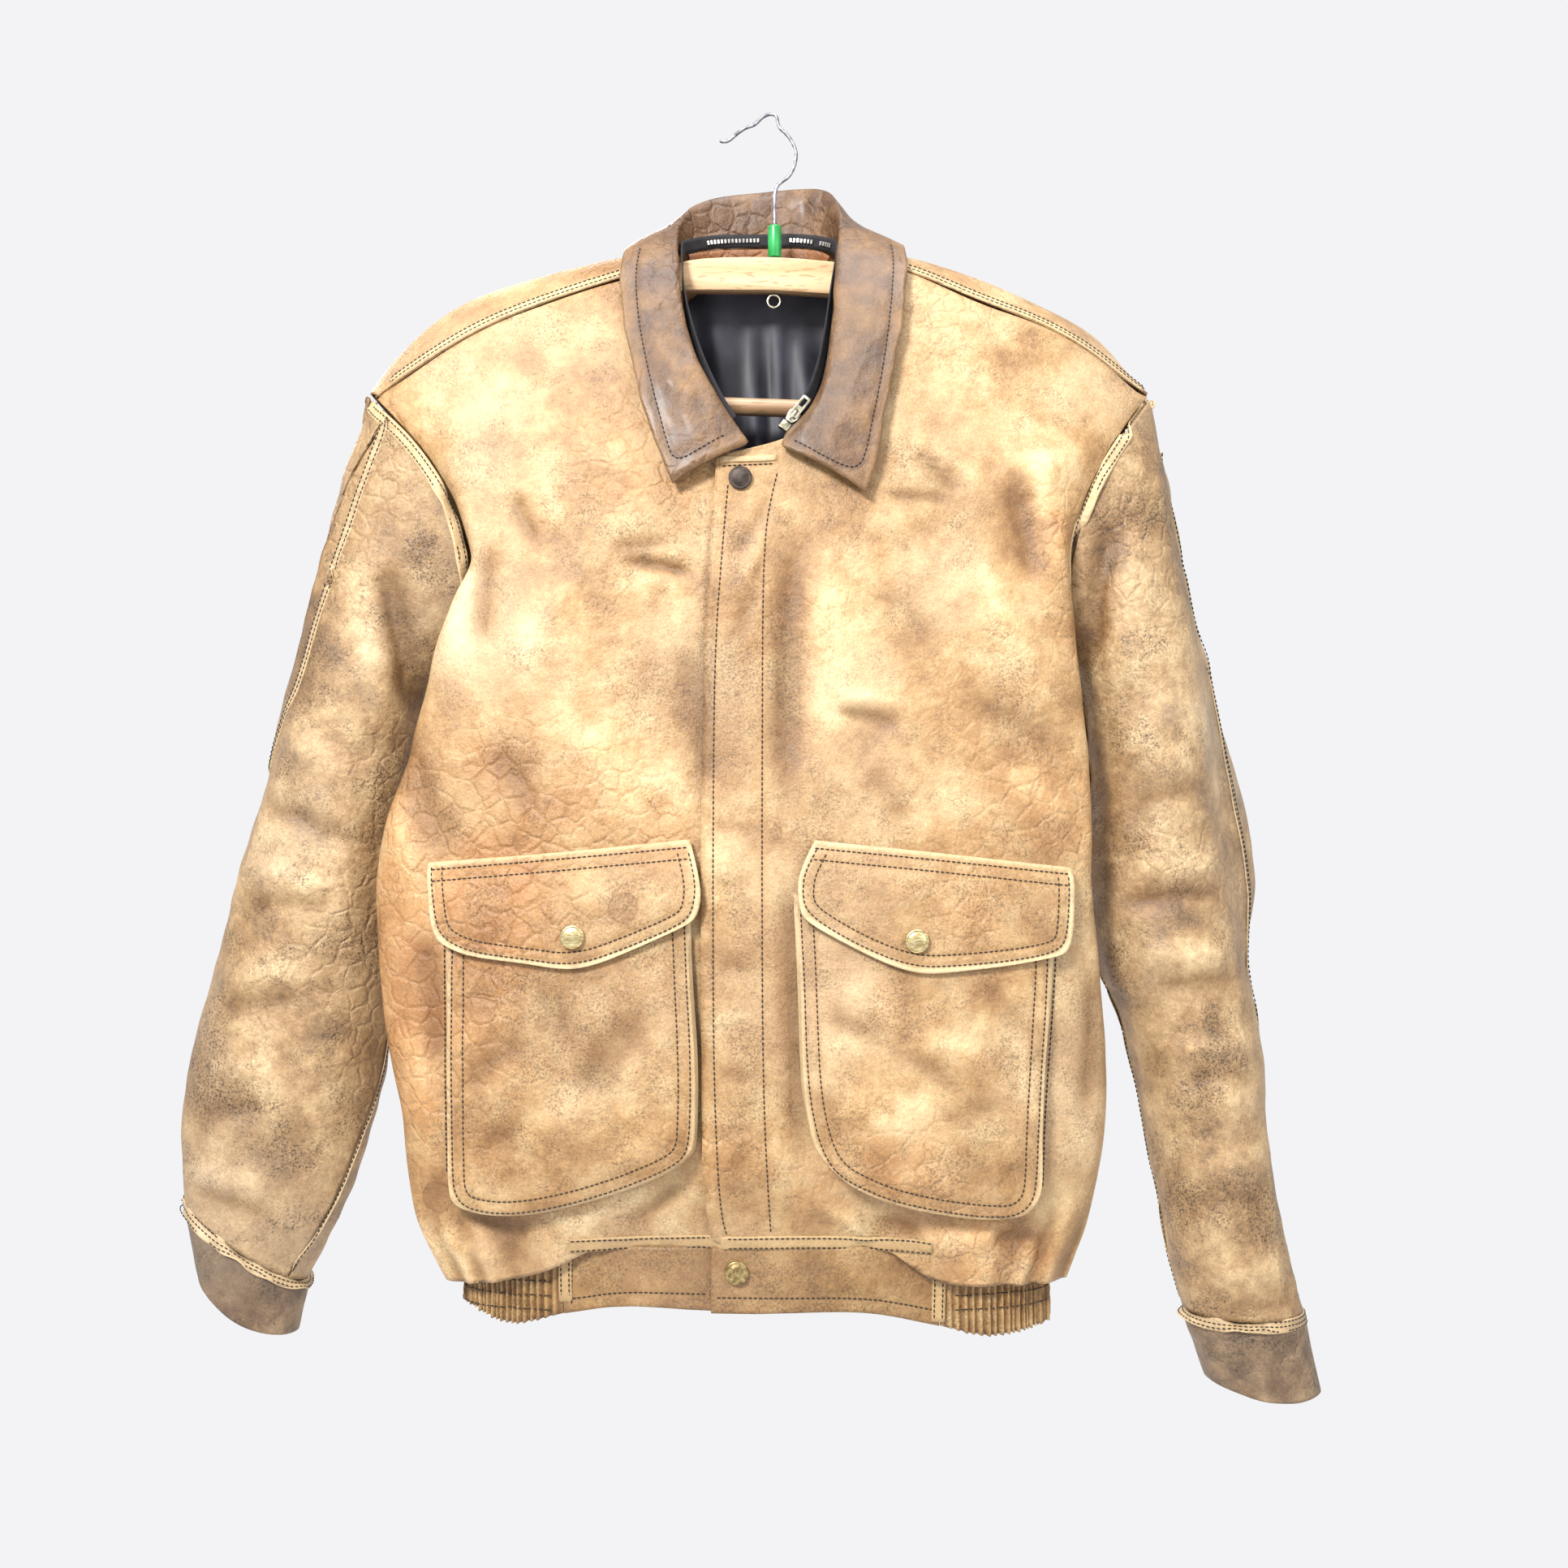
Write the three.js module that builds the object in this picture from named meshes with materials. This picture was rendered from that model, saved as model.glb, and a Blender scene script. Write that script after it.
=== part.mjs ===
// A worn leather blouson jacket, fastened, on a wooden hanger that hangs by its wire hook.
// Millimetres, +Z up, +X to the wearer's left, +Y towards the wall. The origin is the top of the
// hook's inside, where it bears on a nail. "right" and "left" are the wearer's.
import * as THREE from "three";

// Driving dimensions
const leather = 1.6; // one layer of garment leather
const doubled = 2.6; // two layers, stitched together
const seamGap = 0.5; // clear gap between pieces that are sewn together
const waistSeam = -745; // height of the waistband's seam
const armpit = -366; // height where the armholes and the side seams meet
const snapRadius = 7.5;
const pocketDepth = 12.5; // how far a pocket's foot stands off its front
const capRise = 2.4; // height of a snap's dome
const woodThickness = 12; // of the hanger's arm
const wireRadius = 1.35;
const trouserBarRadius = 6;
const hangerTilt = 2; // degrees, as it hangs, lower on the wearer's left

const tan = 0xc9a26b;
const darkTan = 0x9a7448;
const collarBrown = 0x6b4a2e;

const point = (x, y, z) => new THREE.Vector3(x, y, z);
const mix = THREE.MathUtils.lerp;
const radians = THREE.MathUtils.degToRad;
const clamp = THREE.MathUtils.clamp;
const smooth = (t) => THREE.MathUtils.smoothstep(t, 0, 1);

// A smooth curve through [position, value] pairs that rise in position.
function profile(pairs) {
  const slope = pairs.map((pair, i) => {
    const before = pairs[Math.max(i - 1, 0)];
    const after = pairs[Math.min(i + 1, pairs.length - 1)];
    return (after[1] - before[1]) / (after[0] - before[0]);
  });
  return (position) => {
    const at = clamp(position, pairs[0][0], pairs[pairs.length - 1][0]);
    let i = 0;
    while (i < pairs.length - 2 && at > pairs[i + 1][0]) i += 1;
    const span = pairs[i + 1][0] - pairs[i][0];
    const t = (at - pairs[i][0]) / span;
    const rise = t * t * (3 - 2 * t);
    const start = t * (1 - t) * (1 - t) * span * slope[i];
    const end = t * t * (t - 1) * span * slope[i + 1];
    return mix(pairs[i][1], pairs[i + 1][1], rise) + start + end;
  };
}

// A smooth curve through points, read by how far along it is, from 0 to 1.
function route(points) {
  const last = points.length - 1;
  const axes = ["x", "y", "z"].map((axis) => profile(points.map((p, i) => [i, p[axis]])));
  return (t) => point(axes[0](t * last), axes[1](t * last), axes[2](t * last));
}

// The jacket's body, in level sections round a centre line. Each half has its own outline.
const centreLine = profile([[-790, -14], [-700, -20], [-420, -20], [-240, -12], [-80, -8]]);
const frontDepth = profile([
  [-790, -86], [-738, -89], [-700, -92], [-600, -92], [-500, -88], [-430, -83], [-366, -77],
  [-300, -70], [-240, -62], [-200, -52], [-160, -40], [-112, -24],
]);
const backDepth = profile([[-790, 42], [-740, 44], [-600, 42], [-300, 40], [-200, 38], [-76, 33]]);
const widestDepth = profile([
  [-790, -32], [-700, -42], [-500, -45], [-366, -42], [-262, -30], [-200, 2], [-112, 6],
]);
const frontFullness = profile([[-790, 0.5], [-366, 0.5], [-262, 0.6], [-200, 0.8], [-112, 0.9]]);
const backFullness = 0.8;
const blouseTop = -739; // below this height a panel's foot hangs over the waistband as a blouson
const plainHem = 9; // how far a panel draws in where it runs straight into the waistband
const plainFrom = -695; // height where it starts to draw in
const sideSeamTurn = 112; // degrees round from the centre front to the side seam
const seamTurn = 1.3; // degrees from a side seam to the edge of each panel

const halves = {
  right: {
    sign: -1,
    edge: profile([
      [-790, -196], [-777, -206], [-764, -218], [-724, -233], [-682, -237], [-660, -239],
      [-623, -247.5], [-577, -252.5], [-521, -256], [-480, -250], [-427, -233], [-366, -217],
      [-300, -204], [-262, -205], [-242, -226], [-200, -290], [-112, -300],
    ]),
    armhole: { top: point(-272, 3, -188), bottom: point(-205, 3, -368), front: 43, back: 33,
      bowFront: 38, bowBack: 20 },
    innerEdge: profile([
      [-745, -22], [-262, -22], [-240, -22], [-211, -40], [-161, -62], [-130, -69], [-112, -71],
    ]),
    seam: profile([[-260, -196], [-246, -186], [-188, -152], [-140, -133], [-101, -119], [-70, -112]]),
    crest: route([point(-72, -2, -95), point(-96, -1, -94.5), point(-174, 2, -113.5), point(-213, 4, -127),
      point(-241, 4, -149), point(-263, 4, -174), point(-272, 3, -188)]),
    neck: [point(-8, 33, -76), point(-42, 29, -80), point(-67, 12, -92)],
    levelShare: profile([[0, 0], [1, 1]]),
    band: { end: -131, fold: profile([[-260, -770], [-200, -770], [-130, -756], [-104, -740], [0, -738]]) },
  },
  left: {
    sign: 1,
    edge: profile([
      [-790, 178], [-777, 188], [-764, 198], [-724, 209], [-682, 217], [-630, 218], [-577, 214.5],
      [-524, 209], [-460, 206.5], [-407, 204], [-355, 199], [-302, 197], [-262, 214], [-228, 244],
      [-200, 264], [-112, 280],
    ]),
    armhole: { top: point(255, 3, -190), bottom: point(197, 3, -366), front: 43, back: 33,
      bowFront: 26, bowBack: 14 },
    innerEdge: profile([
      [-745, -37], [-720, -41], [-560, -43], [-366, -42], [-300, -38], [-262, -35], [-240, -30],
      [-232, 19.5], [-208, 35], [-160, 49], [-128, 55], [-112, 58],
    ]),
    seam: profile([[55, -108], [87, -112], [139, -136], [180, -150], [220, -172], [246, -192]]),
    crest: route([point(59, -2, -93.5), point(89, -1, -94.5), point(132, 0, -107), point(175.5, 4, -125.6),
      point(206, 4, -139), point(228, 4, -154), point(245, 4, -177), point(255, 3, -190)]),
    neck: [point(-8, 33, -76), point(28, 29, -78), point(53, 12, -90)],
    // close rows where the neckline turns
    levelShare: profile([[0, 0], [0.75, 0.786], [0.8125, 0.805], [0.875, 0.875], [1, 1]]),
    band: { end: 108, fold: profile([[0, -738], [72, -738], [95, -762], [110, -768], [240, -772]]) },
  },
};

// The largest folds of the fronts: a soft ridge (outwards) or trough between two places.
const frontFolds = [
  { from: [8, -290], to: [4, -465], width: 9, height: -5 },
  { from: [40, -470], to: [75, -420], width: 7, height: -3 },
  { from: [95, -240], to: [128, -272], width: 6, height: -3 },
  { from: [172, -235], to: [190, -318], width: 11, height: 5 },
  { from: [-110, -305], to: [-52, -312], width: 6, height: -3 },
  { from: [-170, -330], to: [-140, -470], width: 24, height: 5 },
  { from: [60, -640], to: [120, -610], width: 9, height: 3 },
  { from: [-90, -330], to: [-60, -480], width: 22, height: -4 },
];
function foldRise(folds, x, z) {
  return folds.reduce((sum, fold) => {
    const dx = fold.to[0] - fold.from[0];
    const dz = fold.to[1] - fold.from[1];
    const t = clamp(((x - fold.from[0]) * dx + (z - fold.from[1]) * dz) / (dx * dx + dz * dz), 0, 1);
    const away = Math.hypot(x - fold.from[0] - t * dx, z - fold.from[1] - t * dz);
    return sum + fold.height * Math.exp(-((away / fold.width) ** 2));
  }, 0);
}

// A point of the body's section at a height, by the turn round from the centre front.
function sectionPoint(half, turn, z) {
  const across = Math.sin(radians(turn));
  const ahead = Math.cos(radians(turn));
  const middle = centreLine(z);
  const x = middle + (half.edge(z) - middle) * across;
  const widest = widestDepth(z);
  const plain = plainHem * smooth((plainFrom - z) / 45);
  if (ahead < 0) {
    return point(x, widest + (backDepth(z) - widest) * (-ahead) ** backFullness, z);
  }
  const y = widest + (frontDepth(z) - widest) * ahead ** frontFullness(z);
  const blouse = smooth((blouseTop - half.band.fold(x)) / 20);
  return point(x, y + plain * (1 - blouse) - foldRise(frontFolds, x, z), z);
}

function turnAt(half, x, z) {
  const middle = centreLine(z);
  return THREE.MathUtils.radToDeg(Math.asin(clamp((x - middle) / (half.edge(z) - middle), -1, 1)));
}

// Depth of the fronts at a place, for what lies on them.
function frontAt(x, z) {
  const half = x < centreLine(z) ? halves.right : halves.left;
  return sectionPoint(half, turnAt(half, x, z), z).y;
}

// The armhole's loop: the front or the back edge at a height.
function armholeAt(half, z, isFront) {
  const { top, bottom, front, back, bowFront, bowBack } = half.armhole;
  const along = clamp((z - (top.z + bottom.z) / 2) / ((top.z - bottom.z) / 2), -1, 1);
  const round = 1 - along * along;
  const bow = isFront ? bowFront : bowBack;
  const x = mix(bottom.x, top.x, (along + 1) / 2) - half.sign * bow * round;
  return point(x, mix(bottom.y, top.y, 0.5) + (isFront ? -front : back) * Math.sqrt(round), z);
}

const sideTurn = (isFront) => sideSeamTurn + (isFront ? -seamTurn : seamTurn);

// The outer edge of a panel: the side seam below the armpit, the armhole above it.
function panelEdge(half, z, isFront) {
  const seamSide = sectionPoint(half, sideTurn(isFront), Math.min(z, armpit));
  if (z <= armpit) return seamSide;
  const hole = armholeAt(half, z, isFront);
  return seamSide.setZ(z).lerp(hole, smooth((z - armpit) / 24));
}

// The waistband's own section.
const band = {
  middle: -14, front: -78, back: 33, widest: -30, right: -199, left: 181, fullness: 0.55,
};
function bandPoint(half, turn, z, out = 0) {
  const across = Math.sin(radians(turn));
  const ahead = Math.cos(radians(turn));
  const side = half.sign < 0 ? band.right : band.left;
  const depth = ahead > 0 ? band.front : band.back;
  const reach = depth - band.widest;
  const fullness = ahead > 0 ? band.fullness : backFullness;
  return point(
    band.middle + (side - band.middle + half.sign * out) * across,
    band.widest + (reach + Math.sign(reach) * out) * Math.abs(ahead) ** fullness,
    z,
  );
}

// A closed wall on both sides of a grid of points. A tube's rows join up with themselves.
function wall(rows, thickness, isTube = false) {
  const across = rows[0].length;
  const down = rows.length;
  const pick = (j, i) => rows[clamp(j, 0, down - 1)][
    isTube ? (i + across) % across : clamp(i, 0, across - 1)];
  const positions = [];
  for (const side of [0.5, -0.5])
    for (let j = 0; j < down; j += 1)
      for (let i = 0; i < across; i += 1) {
        const along = pick(j, i + 1).clone().sub(pick(j, i - 1));
        const up = pick(j + 1, i).clone().sub(pick(j - 1, i));
        const normal = along.cross(up).normalize();
        positions.push(...pick(j, i).clone().addScaledVector(normal, side * thickness).toArray());
      }
  const faces = [];
  const quad = (a, b, c, d) => faces.push(a, b, c, a, c, d);
  const columns = isTube ? across : across - 1;
  const back = across * down;
  for (let i = 0; i < columns; i += 1) {
    const next = (i + 1) % across;
    for (let j = 0; j < down - 1; j += 1) {
      const low = j * across;
      const high = low + across;
      quad(low + i, low + next, high + next, high + i);
      quad(back + low + next, back + low + i, back + high + i, back + high + next);
    }
    const top = (down - 1) * across;
    quad(back + i, back + next, next, i);
    quad(top + i, top + next, back + top + next, back + top + i);
  }
  if (!isTube)
    for (let j = 0; j < down - 1; j += 1) {
      const low = j * across;
      const high = low + across;
      quad(back + low, low, high, back + high);
      quad(low + columns, back + low + columns, back + high + columns, high + columns);
    }
  return facingOut(positions, faces);
}

// An indexed geometry, turned so that its volume is positive.
function facingOut(positions, faces) {
  const geometry = new THREE.BufferGeometry();
  geometry.setAttribute("position", new THREE.Float32BufferAttribute(positions, 3));
  const corner = (i) => point(...positions.slice(3 * i, 3 * i + 3));
  let volume = 0;
  for (let i = 0; i < faces.length; i += 3) {
    const [a, b, c] = faces.slice(i, i + 3).map(corner);
    volume += a.dot(b.cross(c));
  }
  const turned = volume < 0 ? faces.slice().reverse() : faces;
  geometry.setIndex(turned);
  return geometry;
}

const grid = (across, down, make) =>
  Array.from({ length: down + 1 }, (_, j) =>
    Array.from({ length: across + 1 }, (_, i) => make(i / across, j / down)));

const group = new THREE.Group();
function add(name, geometry, color, roughness = 0.75, metalness = 0) {
  const material = new THREE.MeshStandardMaterial({ color, roughness, metalness });
  const mesh = new THREE.Mesh(geometry, material);
  mesh.name = name;
  group.add(mesh);
  return mesh;
}

// A front or back panel's lowest rows turn under at the blouson's fold and rise to the waist seam.
const underTurns = [[1, 0], [0.45, 3.5]]; // [share of the way to the seam, drop in mm]
const lapUnder = [3.2, 2.4, 1.2]; // the right front's edge lies back, under the left front's fly
const lapOver = [-2.4, -1.6, -0.8];
function underPoint(half, onFold, turn, share, drop) {
  const hang = clamp((blouseTop - 1.5 - onFold.z) / 24, 0, 1);
  const outside = smooth(hang * 4);
  const onBand = bandPoint(half, turn, waistSeam + 2.5 * seamGap + 2 * outside, 3.8 * outside);
  const low = onFold.clone().lerp(onBand, share);
  low.z = mix(onFold.z, onBand.z, share) - drop * hang;
  return low;
}

// Fronts: from the centre edge to the side seam and the armhole, and up to the shoulder seam.
function frontRows(half) {
  const columns = 12;
  const levels = 16;
  const innerTurn = (z) => turnAt(half, half.innerEdge(z), z);
  const side = sideTurn(true);
  const outerTurn = (z) => Math.min(side, turnAt(half, armholeAt(half, z, true).x, z) + 2);
  const turnOf = (u, z) => mix(innerTurn(z), z <= armpit ? side
    : mix(side, outerTurn(z), smooth((z - armpit) / 90)), u);
  const surface = (u, z) => {
    const turn = turnOf(u, z);
    const base = sectionPoint(half, turn, z);
    const pull = panelEdge(half, z, true).sub(sectionPoint(half, turnOf(1, z), z));
    return base.addScaledVector(pull, u ** 4);
  };
  const topZ = (u) => {
    let z = -150;
    for (let pass = 0; pass < 8; pass += 1) z = half.seam(surface(u, z).x);
    return z;
  };
  const foldZ = (u) => half.band.fold(sectionPoint(half, turnOf(u, -740), -740).x);
  const tops = Array.from({ length: columns + 1 }, (_, i) => topZ(i / columns));
  const rows = grid(columns, levels, (u, v) => {
    const share = mix(half.levelShare(v), v, smooth(2 * u));
    return surface(u, mix(foldZ(u), tops[Math.round(u * columns)], share));
  });
  const under = underTurns.map(([share, drop]) => rows[0].map((p, i) =>
    underPoint(half, p, turnOf(i / columns, -740), share, drop)));
  const all = [...under, ...rows];
  const lap = half.sign < 0 ? lapUnder : lapOver;
  all.forEach((row) => lap.forEach((step, i) => row[i].setY(row[i].y + step)));
  return all;
}
const frontPanels = { right: frontRows(halves.right), left: frontRows(halves.left) };

const aboveSeam = point(0, 1, 2.8); // from the fronts' top edge to the back's edge

// Back: one panel from side seam to side seam, forward over both shoulders to their seams.
function backHalfRows(half, front) {
  const columns = 10;
  const levels = 13;
  const crestStart = 0.42;
  const frontTop = route(front[front.length - 1]);
  const neck = route([...half.neck, half.crest(0), frontTop(0).add(aboveSeam)]);
  const top = (u) => (u <= crestStart
    ? neck(u / crestStart) : frontTop((u - crestStart) / (1 - crestStart)).add(aboveSeam));
  const crest = (u) => (u <= crestStart
    ? neck((0.75 * u) / crestStart)
      .lerp(point((half.crest(0).x * u) / crestStart, 36, -104), 0.5 * (1 - u / crestStart))
    : half.crest((u - crestStart) / (1 - crestStart)));
  const baseZ = profile([[0, -122], [crestStart, -134], [0.75, -162], [1, -205]]);
  const turnOf = (u, z) => {
    const outer = z <= armpit ? sideTurn(false)
      : mix(sideTurn(false), 180 - turnAt(half, armholeAt(half, z, false).x, z),
        smooth((z - armpit) / 90));
    return mix(180, Math.max(outer, 100), u);
  };
  const surface = (u, z) => {
    const turn = turnOf(u, z);
    const pull = panelEdge(half, z, false).sub(sectionPoint(half, turnOf(1, z), z));
    return sectionPoint(half, turn, z).addScaledVector(pull, u ** 4);
  };
  const foldZ = (u) => mix(-764, -771, u);
  const rows = grid(columns, levels, (u, v) => surface(u, mix(foldZ(u), baseZ(u), v)));
  const seamRows = [0.25, 0.5, 0.75, 1].map((v) => Array.from({ length: columns + 1 }, (_, i) => {
    const u = i / columns;
    return route([surface(u, baseZ(u)), crest(u), top(u)])(v);
  }));
  const under = underTurns.map(([share, drop]) => rows[0].map((p, i) =>
    underPoint(half, p, turnOf(i / columns, -740), share, drop)));
  return [...under, ...rows, ...seamRows];
}

function backRows() {
  const right = backHalfRows(halves.right, frontPanels.right);
  const left = backHalfRows(halves.left, frontPanels.left);
  return right.map((row, j) => [...row.slice(1).reverse(), ...left[j]]);
}

add("front_right", wall(frontPanels.right, leather), tan);
add("front_left", wall(frontPanels.left, leather), tan);
add("back", wall(backRows(), leather), tan);

// Sleeves: rings from the armhole down to the cuff. Each ring has its outer and inner edge as seen
// from the front, [x, z], half its depth, and the depth of its middle.
const sleeves = {
  right: {
    half: halves.right,
    rings: [
      [[-272, -188], [-210, -368], 38, 3], [[-286.7, -227.7], [-224, -384], 42, 7],
      [[-298.4, -268.1], [-232, -396], 44, 9], [[-312.7, -319.2], [-235, -410], 46, 9],
      [[-329.3, -388.7], [-240, -436], 46, 8], [[-341.4, -453], [-248, -486], 45, 6],
      [[-358.4, -502.9], [-252, -536], 44, 5], [[-375, -568.8], [-256, -596], 44, 3],
      [[-391.3, -624.3], [-258, -646], 43, 0], [[-398.8, -670.3], [-269, -684], 41, -3],
      [[-397.2, -702], [-283, -733], 37, -6], [[-392.8, -728.2], [-311, -785], 31, -10],
    ],
    cuffEnd: [[-384, -778.9], [-318, -819], 27, -12],
    cuffSag: 7,
    topSeam: profile([[0, 38], [3, 26], [5, 4], [11, -18]]),
    underSeam: profile([[0, 178], [6, 176], [9, 160], [11, 142]]),
    elbow: 0,
  },
  left: {
    half: halves.left,
    rings: [
      [[255, -190], [198, -366], 38, 3], [[264.5, -228.1], [205, -382], 44, 5],
      [[272.8, -271.7], [209, -396], 47, 6], [[283, -327.7], [212, -412], 49, 6],
      [[293.2, -391.9], [214, -440], 49, 6], [[301.6, -476.4], [215, -498], 49, 5],
      [[308.7, -521.1], [216, -540], 49, 3], [[314, -560.4], [221, -576], 48, 0],
      [[324.3, -599], [236, -606], 45, -3], [[330.6, -638.5], [244, -640], 42, -6],
      [[331.7, -681.2], [253, -686], 40, -9], [[336.7, -714.9], [259, -720], 38, -11],
      [[343.6, -758.5], [267, -766], 36, -13], [[356, -804], [276.5, -803], 32, -15],
    ],
    cuffEnd: [[365.7, -855.6], [290, -847], 29, -16],
    cuffSag: 5,
    topSeam: profile([[0, -4], [13, -20]]),
    underSeam: profile([[0, 172], [4, 168], [8, 185], [13, 195]]),
    elbow: 46,
  },
};
const elbowPlace = { ring: 5.5, spread: 2, turn: 315, width: 38 };

const sewnOut = 2.4; // from the armhole's edge to the sleeve's

// A point of a sleeve: how many rings down, and the turn from its outer edge, round by the front.
function sleevePoint(sleeve, down, turn, out = 0) {
  const across = Math.cos(radians(turn));
  const ahead = Math.sin(radians(turn));
  const values = sleeve.rings.map(([outer, inner, depth, middle]) => [...outer, ...inner, depth, middle]);
  const [ox, oz, ix, iz, depth, middle] = [0, 1, 2, 3, 4, 5].map((k) =>
    profile(values.map((ring, i) => [i, ring[k]]))(down));
  const shift = (across + 1) / 2;
  const reach = Math.hypot(ox - ix, oz - iz);
  const p = point(mix(ix, ox, shift), middle - (depth + out) * ahead, mix(iz, oz, shift));
  p.x += (out * across * (ox - ix)) / reach;
  p.z += (out * across * (oz - iz)) / reach;
  const fade = (1 - clamp(down / 3, 0, 1)) ** 2;
  const { bowFront, bowBack } = sleeve.half.armhole;
  p.x -= sleeve.half.sign * (ahead > 0 ? bowFront : bowBack) * ahead * ahead * fade;
  p.y -= 5 * ahead * fade;
  p.x += sleeve.half.sign * sewnOut * fade;
  const nearElbow = Math.exp(-(((down - elbowPlace.ring) / elbowPlace.spread) ** 2));
  const round = Math.abs(((turn + 360) % 360) - elbowPlace.turn);
  const push = sleeve.elbow * nearElbow * Math.exp(-((round / elbowPlace.width) ** 2));
  return p.add(point(sleeve.half.sign * push, push * 0.25, 0));
}

function sleeveRows(sleeve, isTop) {
  const last = sleeve.rings.length - 1;
  const start = 0.05;
  return grid(8, last, (u, v) => {
    const down = mix(start, last, v);
    const from = sleeve.topSeam(down) + 1.1;
    const to = sleeve.underSeam(down) - 1.1;
    const turn = isTop ? mix(from, to, u) : mix(to + 2.2, from + 360 - 2.2, u);
    return sleevePoint(sleeve, down, turn);
  });
}

const cuffGap = 3;
function cuffRows(sleeve) {
  const around = 18;
  const bands = 3;
  const rings = [sleeve.rings[sleeve.rings.length - 1], sleeve.cuffEnd];
  return Array.from({ length: bands + 1 }, (_, j) => Array.from({ length: around }, (_, i) => {
    const turn = (360 * i) / around;
    const across = (Math.cos(radians(turn)) + 1) / 2;
    const ahead = Math.sin(radians(turn));
    const t = j / bands;
    const [outer, inner] = [0, 1].map((k) => [0, 1].map((axis) => mix(rings[0][k][axis], rings[1][k][axis], t)));
    const bulge = sleeve.cuffSag * t * Math.sin(Math.PI * across);
    return point(
      mix(inner[0], outer[0], across),
      mix(rings[0][3], rings[1][3], t) - mix(rings[0][2], rings[1][2], t) * ahead,
      mix(inner[1], outer[1], across) - bulge - cuffGap * (1 - t),
    );
  }));
}

// The waistband: two leather ends in front, gathered elastic sides and a leather back.
const hem = profile([
  [-200, -786], [-165, -797], [-131, -789], [-90, -783], [-30, -787], [60, -787], [90, -793],
  [108, -797], [140, -805], [182, -800],
]);
const bandHalf = (turn) => (turn < 0 ? halves.right : halves.left);
const bandAt = (turn, z, out) => bandPoint(bandHalf(turn), Math.abs(turn), z, out);
const bandTurn = (x) => {
  const side = x < band.middle ? band.right : band.left;
  return (x < band.middle ? -1 : 1) * THREE.MathUtils.radToDeg(
    Math.asin((x - band.middle) / (side - band.middle)));
};
const backTurn = 142; // where the elastic ends at the back
const gathers = 16;
function bandRows(from, to, columns, ripple = 0, lap = () => 0) {
  return grid(columns, 2, (u, v) => {
    const turn = mix(from, to, u);
    const low = Math.abs(turn) > 90 ? -796 : hem(bandAt(turn, 0, 0).x);
    const z = mix(low, waistSeam - seamGap, v);
    const rise = ripple * (Math.round(u * columns) % 2 ? 1 : -1) * (1 - 0.4 * v);
    return bandAt(turn > 180 ? turn - 360 : turn, z, rise + lap(u));
  });
}
const bandEnds = {
  right: bandTurn(halves.right.band.end), left: bandTurn(halves.left.band.end), gap: 0.35,
};
add("waistband_right", wall(bandRows(bandEnds.right + bandEnds.gap, bandTurn(-8), 8, 0,
  (u) => -3.4 * smooth((u - 0.55) / 0.2)), doubled), tan);
add("waistband_left", wall(bandRows(bandTurn(-37), bandEnds.left - bandEnds.gap, 8, 0,
  (u) => 1.4 * (1 - smooth(u / 0.5))), doubled), tan);
add("elastic_right", wall(bandRows(-backTurn + bandEnds.gap, bandEnds.right - bandEnds.gap,
  2 * gathers, 1.6), leather), tan);
add("elastic_left", wall(bandRows(bandEnds.left + bandEnds.gap, backTurn - bandEnds.gap,
  2 * gathers, 1.6), leather), tan);
add("waistband_back", wall(bandRows(backTurn + bandEnds.gap, 360 - backTurn - bandEnds.gap, 12), doubled), tan);

// Pockets: a bag with gusset sides that stand off the front, and a pointed flap over its mouth.
const flat = (pairs) => route(pairs.map(([x, z]) => point(x, 0, z)));
function patch({ top, bottom, near, far }) {
  const [t, b, n, f] = [top, bottom, near, far].map(flat);
  return (u, v) => {
    const down = b(u).lerp(t(u), v);
    const side = n(v).lerp(f(v), u);
    const corners = b(0).lerp(b(1), u).lerp(t(0).lerp(t(1), u), v);
    return down.add(side).sub(corners);
  };
}
const pockets = {
  right: {
    bag: patch({
      top: [[-203, -522], [-125, -522], [-50, -522]],
      bottom: [[-201, -714], [-189, -722], [-161, -724], [-128, -718], [-97, -708.5], [-62, -695], [-46, -680]],
      near: [[-201, -714], [-202, -618], [-203, -522]],
      far: [[-46, -680], [-45, -630], [-49, -570], [-50, -522]],
    }),
    flap: patch({
      top: [[-215, -503], [-132, -496], [-50, -488]],
      bottom: [[-204, -553], [-187, -560], [-152, -564], [-120, -568], [-88, -557], [-48, -539]],
      near: [[-204, -553], [-211, -544], [-214, -515], [-215, -503]],
      far: [[-48, -539], [-43.5, -530], [-43, -515], [-50, -488]],
    }),
    snap: [-122, -547.5],
  },
  left: {
    bag: patch({
      top: [[15, -522], [95, -522], [180, -522]],
      bottom: [[27, -677], [45, -700], [72, -713.5], [112, -723], [149, -727], [164, -720], [170, -706]],
      near: [[27, -677], [20, -640], [18, -580], [15, -522]],
      far: [[170, -706], [170, -657], [176, -590], [180, -522]],
    }),
    flap: patch({
      top: [[28, -488.5], [110, -497], [190, -506.5]],
      bottom: [[20, -537], [55, -556], [89, -570], [120, -569], [155, -565], [184, -560]],
      near: [[20, -537], [17.5, -522], [18.5, -508], [28, -488.5]],
      far: [[184, -560], [189.5, -551], [191.5, -519], [190, -506.5]],
    }),
    snap: [91, -550],
  },
};
const pocketFoot = 2.8; // from the front's middle layer to the gusset's sewn edge
const bagDepth = (z) => mix(pocketDepth, 4.5, smooth((z + 680) / 170));
const spread = (steps) => [0, 0.012, ...Array.from({ length: steps - 1 }, (_, i) => (i + 1) / steps)];

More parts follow.
